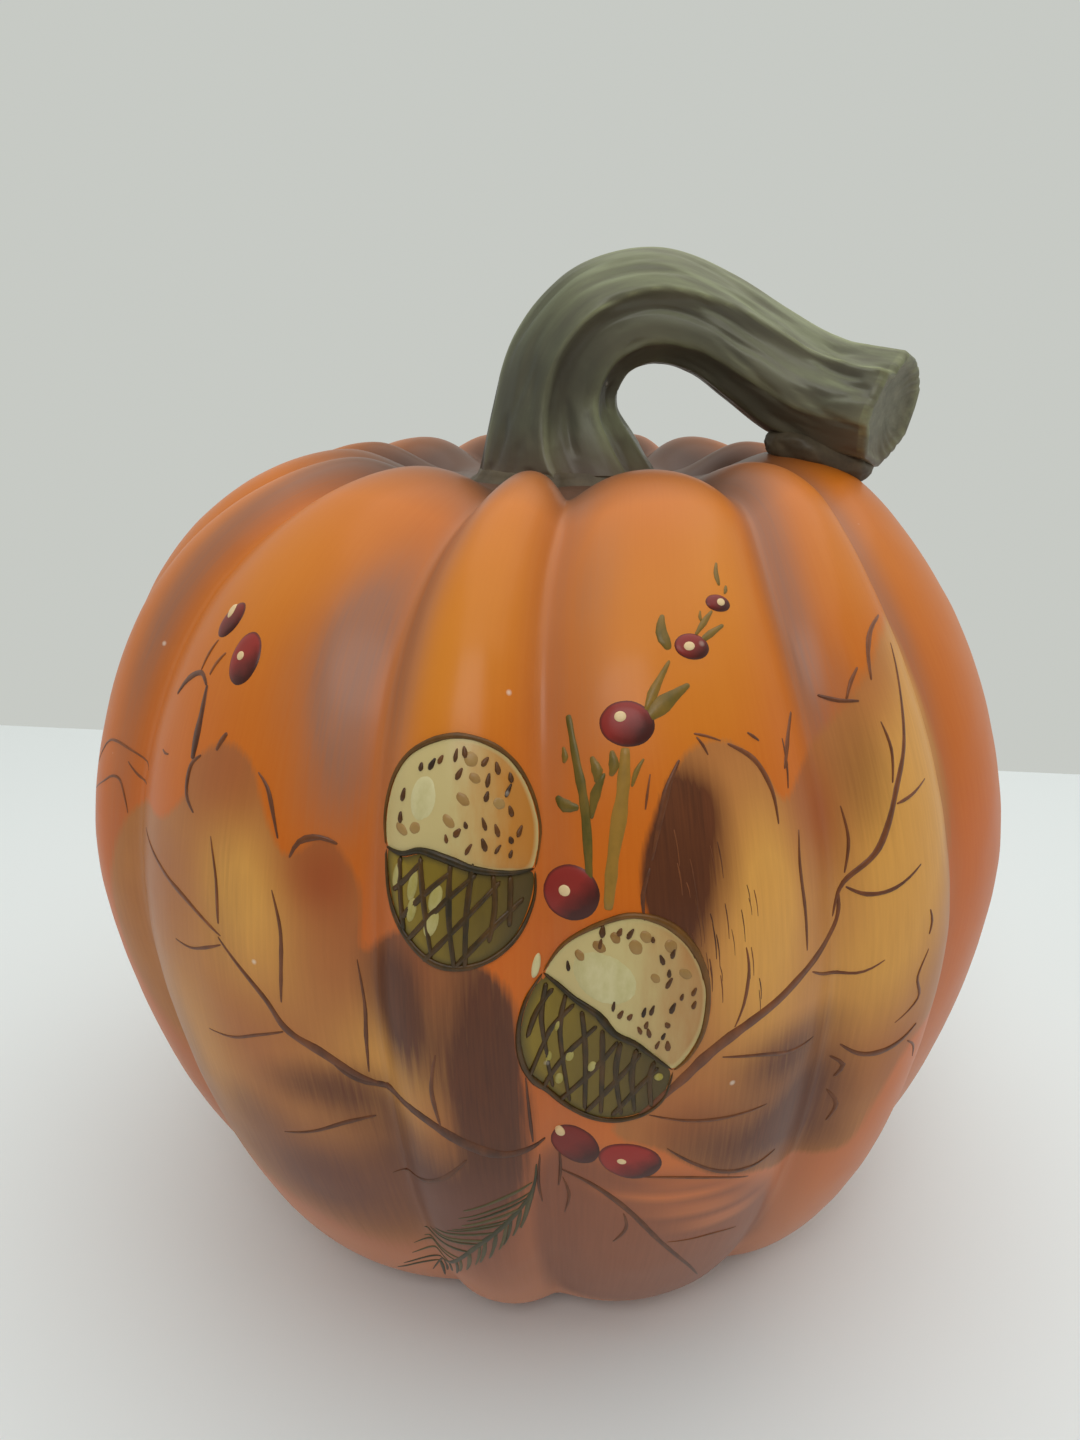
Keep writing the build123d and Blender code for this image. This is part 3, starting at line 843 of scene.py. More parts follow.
# ---- Right leaf -----------------------------------------------------------
# A larger oak leaf that climbs the right ribs from behind the acorn, with dark
# dry-brushed lobes and more of its edge drawn.
RIGHT_LEAF_STROKES = [
    (2.6, 0.4, 0.3, [(8, 66.5), (12, 73.5), (16, 79.5), (23, 85), (30, 90.5), (31, 97)]),
    (1.5, 0.4, 0.35, [
        (30, 92), (31.5, 97.5), (35, 102), (38, 109.5), (40.5, 115), (42.5, 121.5), (44.5, 129),
    ]),
    (0.9, 0.35, 0.6, [(25.5, 108), (25, 103), (25.3, 96), (25.5, 89)]),
    (0.8, 0.4, 0.6, [(32, 109.5), (32.3, 104), (31.6, 98.5)]),
    (0.8, 0.35, 0.5, [(38, 119.5), (38.5, 115), (37.6, 110)]),
    (0.7, 0.4, 0.3, [(37.5, 107.5), (40, 108), (43.5, 109.5)]),
    (1.0, 0.3, 0.35, [(31.5, 97), (33.5, 95.3), (36.5, 95.5), (40.5, 98)]),
    (0.8, 0.4, 0.35, [(26, 86), (29, 83.5), (32.5, 82.3), (35.5, 84.5)]),
    (0.7, 0.5, 0.5, [(18, 94), (18.3, 90), (17.8, 85), (16.8, 81)]),
    (0.9, 0.3, 0.5, [(15.5, 77), (20, 75.5), (24, 73.5), (28, 73)]),
    (0.9, 0.35, 0.5, [(9, 67.5), (13, 66), (17, 65.3), (22, 65.3)]),
    (1.1, 0.2, 0.6, [(11, 61), (14, 57), (17.5, 53.6), (21.5, 52), (25, 52.5)]),
    (1.3, 0.25, 0.4, [(13.3, 119), (11.8, 115.5), (10.7, 111), (9.7, 106)]),
    (0.9, 0.2, 0.5, [(9.7, 106), (8.8, 102), (8.9, 98)]),
    (0.5, 0.5, 0.5, [(10.4, 118), (9.8, 114.5), (9.5, 112.5)]),
    (1.2, 0.45, 0.35, [(18, 120.3), (21, 117.8), (22.6, 113.5), (22.8, 108.5)]),
    (0.6, 0.5, 0.4, [(14.6, 121.8), (16.3, 121.2), (18, 120.3)]),
    (0.6, 0.3, 0.5, [(15, 121.5), (15.7, 120.2), (16.2, 118.6)]),
    (0.6, 0.4, 0.5, [(20.6, 121.3), (21.4, 120.6), (22.2, 119.8)]),
    (1.2, 0.45, 0.6, [(28.2, 123.5), (26.3, 120), (24.6, 115.5)]),
    (0.6, 0.3, 0.5, [(25.3, 120.5), (25.2, 116.5), (24.7, 112.8)]),
    (0.9, 0.55, 0.5, [(37.5, 127), (35.8, 125), (34.6, 122.5)]),
    (1.0, 0.3, 0.4, [(32, 124.8), (34, 123.2), (36.5, 122.3)]),
    (1.3, 0.6, 0.5, [(44.5, 132.5), (41.2, 130.8), (39.3, 128), (38.4, 124)]),
    (0.8, 0.5, 0.5, [(41, 90.5), (41.4, 88), (40.8, 85.5)]),
    (0.8, 0.55, 0.5, [(41.2, 84), (39.6, 79.5), (40.3, 75), (37, 71.5)]),
    (1.6, 0.3, 0.45, [(31.8, 69), (34, 66.8), (36.5, 66.6), (39.3, 67.8), (41.5, 69.8)]),
    (0.7, 0.5, 0.4, [(40, 67), (42, 64.5), (43.2, 60.5)]),
    (1.1, 0.3, 0.5, [(31, 66.5), (32.8, 64.5), (32, 61.3)]),
    (1.1, 0.35, 0.5, [(31.6, 59.5), (33.2, 56), (32.6, 51.5)]),
]
right_leaf_paint = new_paint()
for width, tone, swell, path in RIGHT_LEAF_STROKES:
    brush_stroke(right_leaf_paint, path, width, tone, swell)
# Fine marks of single bristles in the dark lobe, which start lower away from its middle.
LOBE_MARKS = 34
LOBE_MIDDLE = 13.0
mark_draw = random.Random(7)
for _ in range(LOBE_MARKS):
    azimuth = mark_draw.uniform(11.5, 19.5)
    top = mark_draw.uniform(92, 114) - 0.9 * abs(azimuth - LOBE_MIDDLE)
    length = mark_draw.uniform(2.5, 7.0)
    path = [(azimuth, top), (azimuth + 0.25, top - 0.5 * length), (azimuth + 0.3, top - length)]
    width = mark_draw.uniform(0.14, 0.3)
    brush_stroke(right_leaf_paint, path, width, mark_draw.uniform(0.0, 0.7), 0.3)
finish_paint(right_leaf_paint, "right_leaf_veins", umber_line)


# ---- Small leaf and pine sprig --------------------------------------------
# Low on the front: a small purple-brown leaf with a single midrib, and a green
# pine sprig whose needles hang to the left.
SMALL_LEAF_STROKES = [
    (1.5, 0.2, 0.3, [(0.5, 52), (4.5, 50.5), (8, 46), (12, 37.5), (17, 26.5), (20, 19)]),
    (0.8, 0.3, 0.5, [(7.5, 45.5), (8, 41), (6.6, 36)]),
    (0.7, 0.35, 0.5, [(1, 50.5), (1.8, 46), (1.2, 40)]),
    (0.8, 0.5, 0.5, [(7.5, 54.5), (12, 54.3), (17, 52.5), (21.5, 49.5)]),
    (0.7, 0.5, 0.5, [(12.5, 37), (18, 36.5), (22.5, 34.5)]),
    (0.8, 0.2, 0.5, [(-1.2, 57), (-1.5, 50), (-1.2, 44)]),
    (0.8, 0.2, 0.5, [(0.8, 57.5), (0.9, 52), (0.6, 47)]),
]
paint_strokes("small_leaf_veins", umber_line, SMALL_LEAF_STROKES)

PINE_STEM = [(-1.6, 55), (-2.2, 49), (-5, 43.5), (-9, 36.5), (-14, 25), (-20, 12.5)]
NEEDLE_PAIRS = 15
LOWEST_NEEDLE = 7.0
pine_green = line_paint("pine_green", tint(56, 54, 34), tint(98, 86, 52))
pine_paint = new_paint()
brush_stroke(pine_paint, PINE_STEM, 1.5, 0.2, 0.4)
pine_line = smooth_line(PINE_STEM, 6)
needle_draw = random.Random(11)
for pair in range(NEEDLE_PAIRS):
    azimuth, height = pine_line[4 + round(pair * (len(pine_line) - 6) / NEEDLE_PAIRS)]
    reach = needle_draw.uniform(0.8, 1.1)
    left_tip = (azimuth - 8.5 * reach, height - 5.0 * reach)
    low_tip = (azimuth - 1.6 * reach, height - 9.0 * reach)
    left = [(azimuth, height), (azimuth - 4.0 * reach, height - 1.5), left_tip]
    down = [(azimuth, height), (azimuth - 0.6, height - 4.5), low_tip]
    for needle in (left, down):
        path = [(spot[0], max(spot[1], LOWEST_NEEDLE)) for spot in needle]
        width = needle_draw.uniform(0.7, 1.1)
        brush_stroke(pine_paint, path, width, needle_draw.uniform(0.1, 0.8), 0.3)
finish_paint(pine_paint, "pine_sprig", pine_green)


# ---- Acorns ---------------------------------------------------------------
# Two acorns in thick acrylic: a cream nut with a pale light on it, tan blots
# and dark flecks, and an olive cup crossed by dark hatching. Umber outlines.
LEFT_NUT = [
    (-15, 107.3), (-15.3, 112), (-14.3, 117), (-12, 120.3), (-8, 122), (-4, 120.7), (-1.5, 117), (-0.2, 111),
    (-0.8, 105.3), (-3, 105), (-6, 105.6), (-8.5, 106.8), (-11, 107.6), (-13, 106.8),
]
LEFT_CUP = [
    (-15, 107), (-13, 106.6), (-11, 107.4), (-8.5, 106.7), (-6, 105.5), (-3, 104.9), (-0.8, 105), (-1, 101),
    (-2.5, 96.3), (-5, 93.3), (-8, 92.2), (-10.5, 93.2), (-13, 96.7), (-14.4, 101),
]
RIGHT_NUT = [
    (-0.3, 90), (1.8, 94.7), (5, 98), (8, 99.3), (11, 97.8), (13.2, 94), (14.3, 88.5), (14, 82.5), (12.8, 78),
    (11.3, 75.6), (9, 78.8), (7.7, 80.4), (6, 81.7), (4.6, 84.5), (2.6, 86.4), (1, 88.4),
]
RIGHT_CUP = [
    (-0.3, 90), (1, 88.3), (2.6, 86.3), (4.6, 84.3), (6, 81.6), (7.7, 80.3), (9, 78.6), (11.3, 75.4),
    (10.5, 70.5), (8.5, 67.3), (5.5, 65.6), (2.5, 66.2), (0, 68.8), (-2, 74), (-2.7, 80.5), (-2, 86.3),
]
NUT_LIFT = 0.30            # thickness of the paint of the nuts and the cups
CUP_LIFT = 0.24
nut_paint, tree, surface = new_material("acorn_nut_paint")
streak, cloud = bristled(tree, (600.0, 120.0, 160.0))
slant = count(tree, "ADD", mask(tree, "across"), count(tree, "MULTIPLY", streak, 0.25))
tan = mix(tree, mask(tree, "shade"), tint(190, 118, 30), tint(180, 124, 68))
cream = mix(tree, spread(tree, slant, 0.0, 0.75), tint(202, 182, 124), tan)
cream = mix(tree, cloud, cream, tint(170, 146, 96), 0.25)
cream = mix(tree, spread(tree, mask(tree, "edge"), 0.9, 0.97), cream, tint(204, 186, 128))
varnished(tree, surface, cream, coat=0.3, rough=0.5, specks=0.2)
acorn_nuts = new_paint()
daub(acorn_nuts, (-7.6, 113.2), LEFT_NUT, NUT_LIFT, 0.0)
daub(acorn_nuts, (8, 89), RIGHT_NUT, NUT_LIFT, 1.0)
finish_paint(acorn_nuts, "acorn_nuts", nut_paint)

cup_paint, tree, surface = new_material("acorn_cup_paint")
streak, cloud = bristled(tree, (500.0, 160.0, 120.0))
slant = count(tree, "ADD", mask(tree, "across"), count(tree, "MULTIPLY", streak, 0.3))
olive = mix(tree, spread(tree, slant, -0.8, 0.9), tint(152, 126, 30), tint(78, 60, 24))
olive = mix(tree, spread(tree, mask(tree, "edge"), 0.82, 1.0), olive, tint(70, 58, 24))
olive = mix(tree, cloud, olive, tint(100, 84, 38), 0.3)
varnished(tree, surface, olive, coat=0.25, rough=0.5, specks=0.2)
acorn_cups = new_paint()
daub(acorn_cups, (-7.8, 100), LEFT_CUP, CUP_LIFT)
daub(acorn_cups, (3.8, 77), RIGHT_CUP, CUP_LIFT)
finish_paint(acorn_cups, "acorn_cups", cup_paint)

# The hatching of the cups, then the outlines of the nuts, the rims and the cups.
LEFT_HATCH = [
    [(-13.1, 106.6), (-13, 102), (-12.6, 96)], [(-11, 107), (-10.6, 101), (-9.9, 93.2)],
    [(-8.2, 106.5), (-8.3, 99), (-7.9, 91.8)], [(-6.2, 106.6), (-6.8, 99.5), (-7, 92)],
    [(-4.5, 105.2), (-4.4, 100.5), (-5, 95.5)], [(-3, 105), (-3.1, 101), (-3.2, 97.5)],
    [(-14, 101.5), (-12.4, 103.6), (-10.6, 106.6)], [(-13.2, 97.6), (-10.8, 101.6), (-8, 105.4)],
    [(-12.4, 95), (-9, 100.8), (-5.8, 105.2)], [(-10.8, 92.6), (-7.2, 98.7), (-3.8, 104.2)],
    [(-8, 92.2), (-4.8, 97.6), (-1.8, 101.6)],
]
RIGHT_HATCH = [
    [(0, 88.5), (-0.6, 82), (0.4, 69.5)], [(1.8, 87), (1.2, 80), (2, 67.4)],
    [(3.2, 84.8), (3.5, 78), (3.4, 66.6)], [(5, 82.3), (5, 76), (4.9, 66.4)],
    [(6.6, 80.5), (6.2, 75), (6.8, 66.8)], [(8, 79.5), (7.6, 75), (8, 67.6)],
    [(9.6, 77.5), (9.2, 74), (9.5, 68.6)], [(-2, 80), (-1, 84.2), (0.8, 87.8)],
    [(-2, 73), (0.2, 80.4), (2.6, 85.7)], [(-0.8, 69.6), (2, 77.2), (4.6, 82.8)],
    [(1, 67.4), (4.2, 74.8), (6.4, 80.6)], [(3.4, 66.2), (6.2, 73.4), (8.4, 78.8)],
    [(5.8, 66.4), (8.2, 72.6), (10, 76.4)],
]
acorn_line = line_paint("acorn_line", tint(44, 34, 10), tint(120, 76, 22))
hatching = new_paint()
for path in LEFT_HATCH + RIGHT_HATCH:
    brush_stroke(hatching, path, 1.1, 0.2, 0.4, blunt=0.22, over=CUP_LIFT)
for outline, tone, width in ((LEFT_NUT[:9], 0.6, 0.75), (RIGHT_NUT[:10], 0.75, 1.0)):
    brush_stroke(hatching, outline, 1.2 * width, tone, 0.45, over=0.22)
for outline in (LEFT_NUT[8:] + LEFT_NUT[:1], RIGHT_NUT[9:] + RIGHT_NUT[:1]):
    brush_stroke(hatching, outline, 1.3, 0.05, 0.5, over=0.27)
for outline in (LEFT_CUP[6:] + LEFT_CUP[:1], RIGHT_CUP[7:] + RIGHT_CUP[:1]):
    brush_stroke(hatching, outline, 1.15, 0.25, 0.6, over=0.20)
finish_paint(hatching, "acorn_hatching", acorn_line)

# Places of the dark flecks, the tan blots and the light dabs.
LEFT_FLECKS = [
    (-11.3, 118), (-10.2, 118.4), (-9.4, 119), (-8, 119.6), (-7.2, 120), (-7.6, 117.4), (-5.3, 119),
    (-4.2, 118.3), (-3, 117.2), (-3.2, 115.6), (-5, 116.8), (-5.1, 114.8), (-3, 113), (-5.3, 111.4),
    (-4.2, 110.6), (-2.2, 110.4), (-7.6, 110.2), (-6.9, 111.2), (-8.6, 109.4), (-6.6, 108.2),
    (-5.3, 108.8), (-4.1, 108.2), (-3, 107.5), (-3, 109.3), (-13, 114.4), (-13.2, 111.5),
]
RIGHT_FLECKS = [
    (5.2, 97), (6.7, 97), (7.6, 96.8), (9.5, 96), (5, 95.2), (2.1, 91.4), (10.2, 93.2), (11.2, 94),
    (10.8, 91.2), (10.8, 89.8), (13, 88.2), (11.9, 87.6), (13, 86.2), (11.1, 86), (6, 86.2), (6.6, 85),
    (7.4, 84.7), (8.6, 85.5), (9.3, 85.8), (8.8, 83.5), (10.6, 83.4), (8.2, 82.6), (9, 82.2),
    (10.3, 81.6), (9.8, 80.2), (10.7, 80),
]
LEFT_BLOTS = [(-6.6, 119.2), (-6.2, 117), (-7.2, 114.4), (-8.4, 111.6), (-4, 114), (-13, 110), (-11.6, 110.4)]
RIGHT_BLOTS = [(3.2, 93.2), (4.9, 94.8), (6.3, 96.2), (8, 95), (8.9, 96.4), (11, 95), (12.2, 91), (9.6, 90.6)]
fleck_paint = line_paint("fleck_paint", tint(46, 28, 10), tint(104, 62, 22))
flecks = new_paint()
fleck_draw = random.Random(3)
for azimuth, height in LEFT_FLECKS + RIGHT_FLECKS:
    half = fleck_draw.uniform(0.5, 1.05)
    slant = fleck_draw.uniform(-0.35, 0.2)
    path = [(azimuth - slant, height + half), (azimuth, height + 0.1), (azimuth + slant, height - half)]
    tone = fleck_draw.uniform(0.0, 1.0)
    brush_stroke(flecks, path, fleck_draw.uniform(0.75, 1.15), tone, 0.65, blunt=0.7, over=NUT_LIFT)
finish_paint(flecks, "acorn_flecks", fleck_paint)

blot_paint = line_paint("blot_paint", tint(140, 100, 48), tint(164, 130, 76))
blots = new_paint()
for azimuth, height in LEFT_BLOTS + RIGHT_BLOTS:
    half_width = fleck_draw.uniform(0.75, 1.15)
    half_height = fleck_draw.uniform(0.95, 1.5)
    outline = oval(azimuth, height, half_width, half_height, fleck_draw.uniform(20, 60), corners=5)
    daub(blots, (azimuth, height), outline, 0.39, fleck_draw.uniform(0.2, 1.0), steps=3)
finish_paint(blots, "acorn_blots", blot_paint)

LIGHT_DABS = [
    # azimuth, height, half width, half height, tilt, shade
    (-10.9, 114.2, 2.2, 3.7, -8, 0.95), (5.4, 90.2, 5.6, 4.4, -28, 0.85),
    (-13.4, 103.8, 0.8, 2.2, -12, 0.35), (-11.7, 102.9, 0.8, 2.5, -12, 0.3),
    (-9.5, 101.6, 1.0, 2.3, -18, 0.4), (-9.9, 98.3, 1.1, 2.5, -18, 0.4), (-11.8, 99.6, 0.8, 2.0, -14, 0.3),
    (2, 76.6, 0.8, 1.4, -15, 0.35), (4.1, 75.4, 0.7, 1.3, -15, 0.35), (1, 71.8, 0.7, 1.3, -15, 0.3),
    (0, 75.6, 0.6, 1.3, -15, 0.2), (1, 81.6, 0.6, 1.5, -15, 0.2), (10, 74.6, 0.7, 0.7, 30, 0.2),
    (-0.9, 91.3, 0.6, 1.9, -12, 0.95),
]
light_paint = line_paint("light_paint", tint(150, 134, 36), tint(206, 194, 144))
lights_on_acorns = new_paint()
for azimuth, height, half_width, half_height, tilt, tone in LIGHT_DABS:
    outline = oval(azimuth, height, half_width, half_height, tilt)
    daub(lights_on_acorns, (azimuth, height), outline, 0.40, tone, steps=3)
finish_paint(lights_on_acorns, "acorn_lights", light_paint)


# ---- Berries and their twigs ----------------------------------------------
# Round dark-red berries, each with a cream dot for its light, on thin olive
# twigs with a few narrow leaves.
BERRIES = [
    # azimuth, height, half width, half height, tilt, how red
    (20, 137, 1.9, 1.3, -10, 0.35), (16, 132, 2.4, 1.8, -15, 0.6), (8.5, 123.5, 3.5, 3.0, -15, 0.7),
    (2.5, 102, 3.7, 3.8, 0, 0.75), (2.4, 58.8, 3.5, 3.9, 0, 0.35), (7.8, 57.6, 4.4, 3.6, -5, 1.0),
    (-39.5, 132.3, 2.0, 3.0, -25, 0.35), (-34.5, 128, 2.7, 3.9, 0, 0.85),
]
BERRY_DOTS = [
    # azimuth, height, half width, half height
    (20.2, 137, 0.7, 0.65), (15.6, 132, 0.85, 0.7), (7.9, 124.4, 0.85, 0.8), (2, 102.3, 0.9, 0.9),
    (1, 61, 0.8, 0.9), (7, 57.8, 0.75, 0.6), (-39.9, 133.3, 0.7, 1.2), (-35, 128.2, 0.75, 0.75),
]
BERRY_SIZE = 1.08          # how much the paint spreads past the sizes above
DOT_SIZE = 1.15
TWIG_WIDTH = 1.45
berry_paint, tree, surface = new_material("berry_paint")
streak = bristled(tree, (300.0, 300.0, 300.0))[0]
slant = count(tree, "SUBTRACT", mask(tree, "across"), mask(tree, "upward"))
slant = count(tree, "ADD", slant, count(tree, "MULTIPLY", streak, 0.5))
red = mix(tree, mask(tree, "shade"), tint(104, 34, 25), tint(152, 44, 36))
red = mix(tree, spread(tree, slant, 0.0, 1.2), red, tint(70, 27, 20))
red = mix(tree, spread(tree, mask(tree, "edge"), 0.86, 1.0), red, tint(64, 30, 18))
varnished(tree, surface, red, coat=0.3, rough=0.5, specks=0.2)
berries = new_paint()
for azimuth, height, half_width, half_height, tilt, redness in BERRIES:
    outline = oval(azimuth, height, BERRY_SIZE * half_width, BERRY_SIZE * half_height, tilt)
    daub(berries, (azimuth, height), outline, 0.36, redness, steps=4)
finish_paint(berries, "berries", berry_paint)

dot_paint = line_paint("dot_paint", tint(214, 176, 120), tint(232, 206, 160))
dots = new_paint()
for azimuth, height, half_width, half_height in BERRY_DOTS:
    outline = oval(azimuth, height, DOT_SIZE * half_width, DOT_SIZE * half_height)
    daub(dots, (azimuth, height), outline, 0.52, 0.6, steps=3)
finish_paint(dots, "berry_dots", dot_paint)

TWIG_STROKES = [
    (1.8, 0.9, 0.5, [(8.2, 121), (7.6, 115), (6.4, 107), (5.7, 99.5)]),
    (1.3, 0.2, 0.7, [(2.8, 125.5), (3.4, 120), (4.1, 113), (4.2, 103)]),
    (1.7, 0.15, 0.5, [(1.3, 115.2), (2.3, 113.6), (3.8, 113.4)]),
    (1.4, 0.25, 0.5, [(4.6, 111.5), (5.1, 115), (6.2, 118)]),
    (1.5, 0.4, 0.5, [(4.8, 120.2), (5.4, 118), (5.2, 116.2)]),
    (1.4, 0.45, 0.5, [(6.8, 120.8), (7, 118.6), (6.5, 117)]),
    (0.9, 0.5, 0.5, [(2.2, 121.5), (2.4, 120), (2.2, 119)]),
    (2.2, 0.4, 0.45, [(10, 123.5), (12.3, 125.6), (15.4, 127.8)]),
    (1.4, 0.6, 0.4, [(10.2, 124.5), (11.6, 127.5), (13.6, 131)]),
    (1.8, 0.4, 0.6, [(13.2, 136.4), (12.8, 134), (13.6, 131.4)]),
    (0.9, 0.6, 0.5, [(16.3, 133), (17.8, 134.8), (19.3, 136.4)]),
    (1.1, 0.5, 0.5, [(16.5, 132.2), (18.4, 133.4), (20.6, 134.6)]),
    (0.9, 0.5, 0.6, [(20.8, 142.2), (20.4, 140.6), (20.6, 138.8)]),
    (0.6, 0.6, 0.5, [(21.6, 139.3), (21.4, 138.6), (21, 138)]),
    (0.5, 0.6, 0.5, [(17.6, 136.4), (17.4, 135.4), (17.5, 134.8)]),
    (0.8, 0.5, 0.5, [(10, 119.5), (9, 117.6), (8.4, 115.4)]),
]
# The stalks, with four points to their paths, keep their ends broad. The leaves come to points.
twigs = new_paint()
for width, tone, swell, path in TWIG_STROKES:
    blunt = 0.25 if len(path) == 4 else 0.75
    brush_stroke(twigs, path, TWIG_WIDTH * width, tone, swell, blunt)
finish_paint(twigs, "berry_twigs", olive_line)

LEFT_TWIG_STROKES = [
    (0.8, 0.7, 0.5, [(-40, 130), (-41, 127.5), (-41.4, 124.5)]),
    (0.8, 0.8, 0.5, [(-37.6, 128.5), (-38.8, 126.6), (-39.4, 124.5)]),
    (1.6, 0.25, 0.4, [(-45.5, 120.5), (-43.6, 123.5), (-41, 124.8), (-39, 123.2)]),
    (2.2, 0.1, 0.75, [(-39.2, 124), (-38.7, 120), (-38.5, 116.5), (-38.3, 113)]),
]
paint_strokes("left_twig", umber_line, LEFT_TWIG_STROKES)


# ---- Stem -----------------------------------------------------------------
# A solid-cast ceramic stem that arches over to the right shoulder, carved with
# lengthwise ridges, washed dark and dry-brushed green, with an oblique cut end.
STEM_STATIONS = [
    # centre x, y, z, heading from +Z to +X, turn to the front, half height, half width
    (3.4, 0.0, 148.5, 0.0, 0.0, 17.6, 16.0),
    (1.5, 0.0, 153.5, -8.0, 0.0, 15.0, 13.8),
    (1.2, 0.0, 160.5, 2.0, 0.0, 12.2, 11.8),
    (3.6, 0.0, 168.6, 27.0, 0.0, 11.3, 11.2),
    (9.8, 0.0, 175.3, 60.0, 0.0, 10.9, 10.9),
    (19.5, 0.0, 177.7, 91.0, 3.0, 10.3, 10.4),
    (29.6, -1.0, 174.6, 114.0, 7.0, 9.5, 10.2),
    (37.8, -2.4, 169.5, 124.0, 10.0, 9.8, 10.4),
    (45.9, -4.2, 164.4, 121.0, 14.0, 10.3, 10.8),
    (53.6, -6.3, 161.6, 110.0, 22.0, 10.4, 11.2),
    (61.8, -8.8, 159.9, 102.0, 38.0, 10.5, 11.6),
]
# Where each ridge runs, in degrees round the stem from its outer side, at four
# places from the foot to the tip, then how deep the hollow after it is at the
# foot and at the tip, how far towards the next ridge that hollow leans, and how
# bright the painted highlight along the ridge is.
RIDGE_PLACES = [0.0, 0.42, 0.66, 1.0]
STEM_RIDGES = [
    ((-160, -160, -156, -150), 0.09, 0.09, 1.3, 0.3),
    ((-128, -132, -122, -112), 0.20, 0.11, 1.9, 0.35),
    ((-82, -79, -62, -54), 0.05, 0.19, 0.8, 1.0),
    ((-30, -16, -12, -14), 0.06, 0.06, 1.0, 0.6),
    ((40, 46, 50, 58), 0.08, 0.08, 1.0, 0.6),
    ((106, 104, 106, 110), 0.08, 0.08, 1.0, 0.6),
    ((166, 164, 164, 166), 0.06, 0.06, 1.0, 0.3),
]
FULL_HOLLOW = 0.24         # a hollow as deep as this would be shaded fully
STEM_CARVING = 0.030       # unevenness of the carving, and depth of its nicks
STEM_NICKS = 0.075
STEM_LENGTH = 0.12
STEM_THICKNESS = 0.011
STEM_COLUMNS = 132
STEM_STEPS = 16            # rows between two stations
CUT_FACE = [
    # size as a part of the end, and how far it stands out in mm
    (0.975, 0.6), (0.92, 0.9), (0.85, 0.6), (0.77, -0.1),
    (0.6, -0.7), (0.35, -1.1), (0.12, -1.2), (0.0, -1.2),
]


def ridge_height(angle, share):
    """Radius as a part of the uncarved one, how bright the painted highlight of the nearest ridge is, and how
    deep the hollow.
    """
    places = [np.interp(share, RIDGE_PLACES, ridge[0]) for ridge in STEM_RIDGES]
    angle = (angle - places[0]) % 360.0 + places[0]
    ends = places[1:] + [places[0] + 360.0]
    for index, (start, end) in enumerate(zip(places, ends)):
        if angle <= end:
            at_foot, at_tip, leaning, bright = STEM_RIDGES[index][1:]
            next_bright = STEM_RIDGES[(index + 1) % len(STEM_RIDGES)][4]
            depth = np.interp(share, [0.5, 0.85], [at_foot, at_tip])
            along = ((angle - start) / (end - start)) ** leaning
            hollow = math.sin(math.pi * along) ** 0.8
            crest = (bright if along < 0.5 else next_bright) * (1.0 - hollow) ** 5
            return 1.0 - depth * hollow, crest, hollow * depth / FULL_HOLLOW
    return 1.0, 1.0, 0.0


stem_line = smooth_line(STEM_STATIONS, STEM_STEPS)
stem_last = len(stem_line) - 1


def on_stem(angle, row, size=1.0, beyond=0.0):
    """A point of the carved stem's skin."""
    x, y, z, heading, forward, half_height, half_width = stem_line[row]
    lean = math.radians(heading)
    turn = math.radians(forward)
    along = Vector((math.sin(lean) * math.cos(turn), -math.sin(lean) * math.sin(turn), math.cos(lean)))
    side = (Vector((0, 1, 0)) - along * along.y).normalized()
    outer = along.cross(side)
    share = row / stem_last
    part = ridge_height(angle, share)[0]
    bend = math.radians(angle)
    round_about = Vector((math.cos(bend), math.sin(bend), 0.0))
    carving = noise.noise(round_about * 2.6 + Vector((0.0, 0.0, share * 5.0)))
    nicks = max(0.0, noise.noise(round_about * 7.0 + Vector((5.0, 2.0, share * 10.0))) - 0.1)
    radius = size * (part + STEM_CARVING * carving - STEM_NICKS * nicks)
    point = Vector((x, y, z)) + along * beyond
    point += outer * (half_height * radius * math.cos(bend))
    return point + side * (half_width * radius * math.sin(bend))


stem_green, tree, surface = new_material("stem_green")
grain = shade(tree, "ShaderNodeAttribute", attribute_name="grain").outputs["Vector"]
streak, cloud = bristled(tree, (420.0, 420.0, 60.0), grain)
dark = mix(tree, cloud, tint(86, 84, 71), tint(114, 110, 90))
# Dry-brushed green streaks, laid heavier where the stem faces up: painted light from above.
dry_brush_and_top_light = count(tree, "MULTIPLY", mask(tree, "stem_top_light"), spread(tree, streak, 0.1, 0.9, 0.3, 1.1))
green = mix(tree, dry_brush_and_top_light, dark, tint(144, 150, 112))
# Darker in the carved hollows: painted shade.
green = mix(tree, mask(tree, "hollow"), green, tint(72, 66, 50), 0.5)
# Darker where the stem faces left: painted shade.
green = mix(tree, mask(tree, "left_side_shade"), green, tint(56, 58, 54), 0.75)
# Lighter green along the ridges: painted highlight, broken by the dry-brush streaks.
crest = count(tree, "MULTIPLY", mask(tree, "ridge"), spread(tree, streak, 0.1, 0.7, 0.35, 1.0))
green = mix(tree, crest, green, tint(164, 168, 124), 0.9)
cut = mix(tree, streak, tint(92, 90, 70), tint(124, 120, 98))
green = mix(tree, mask(tree, "cut"), green, cut, 0.85)
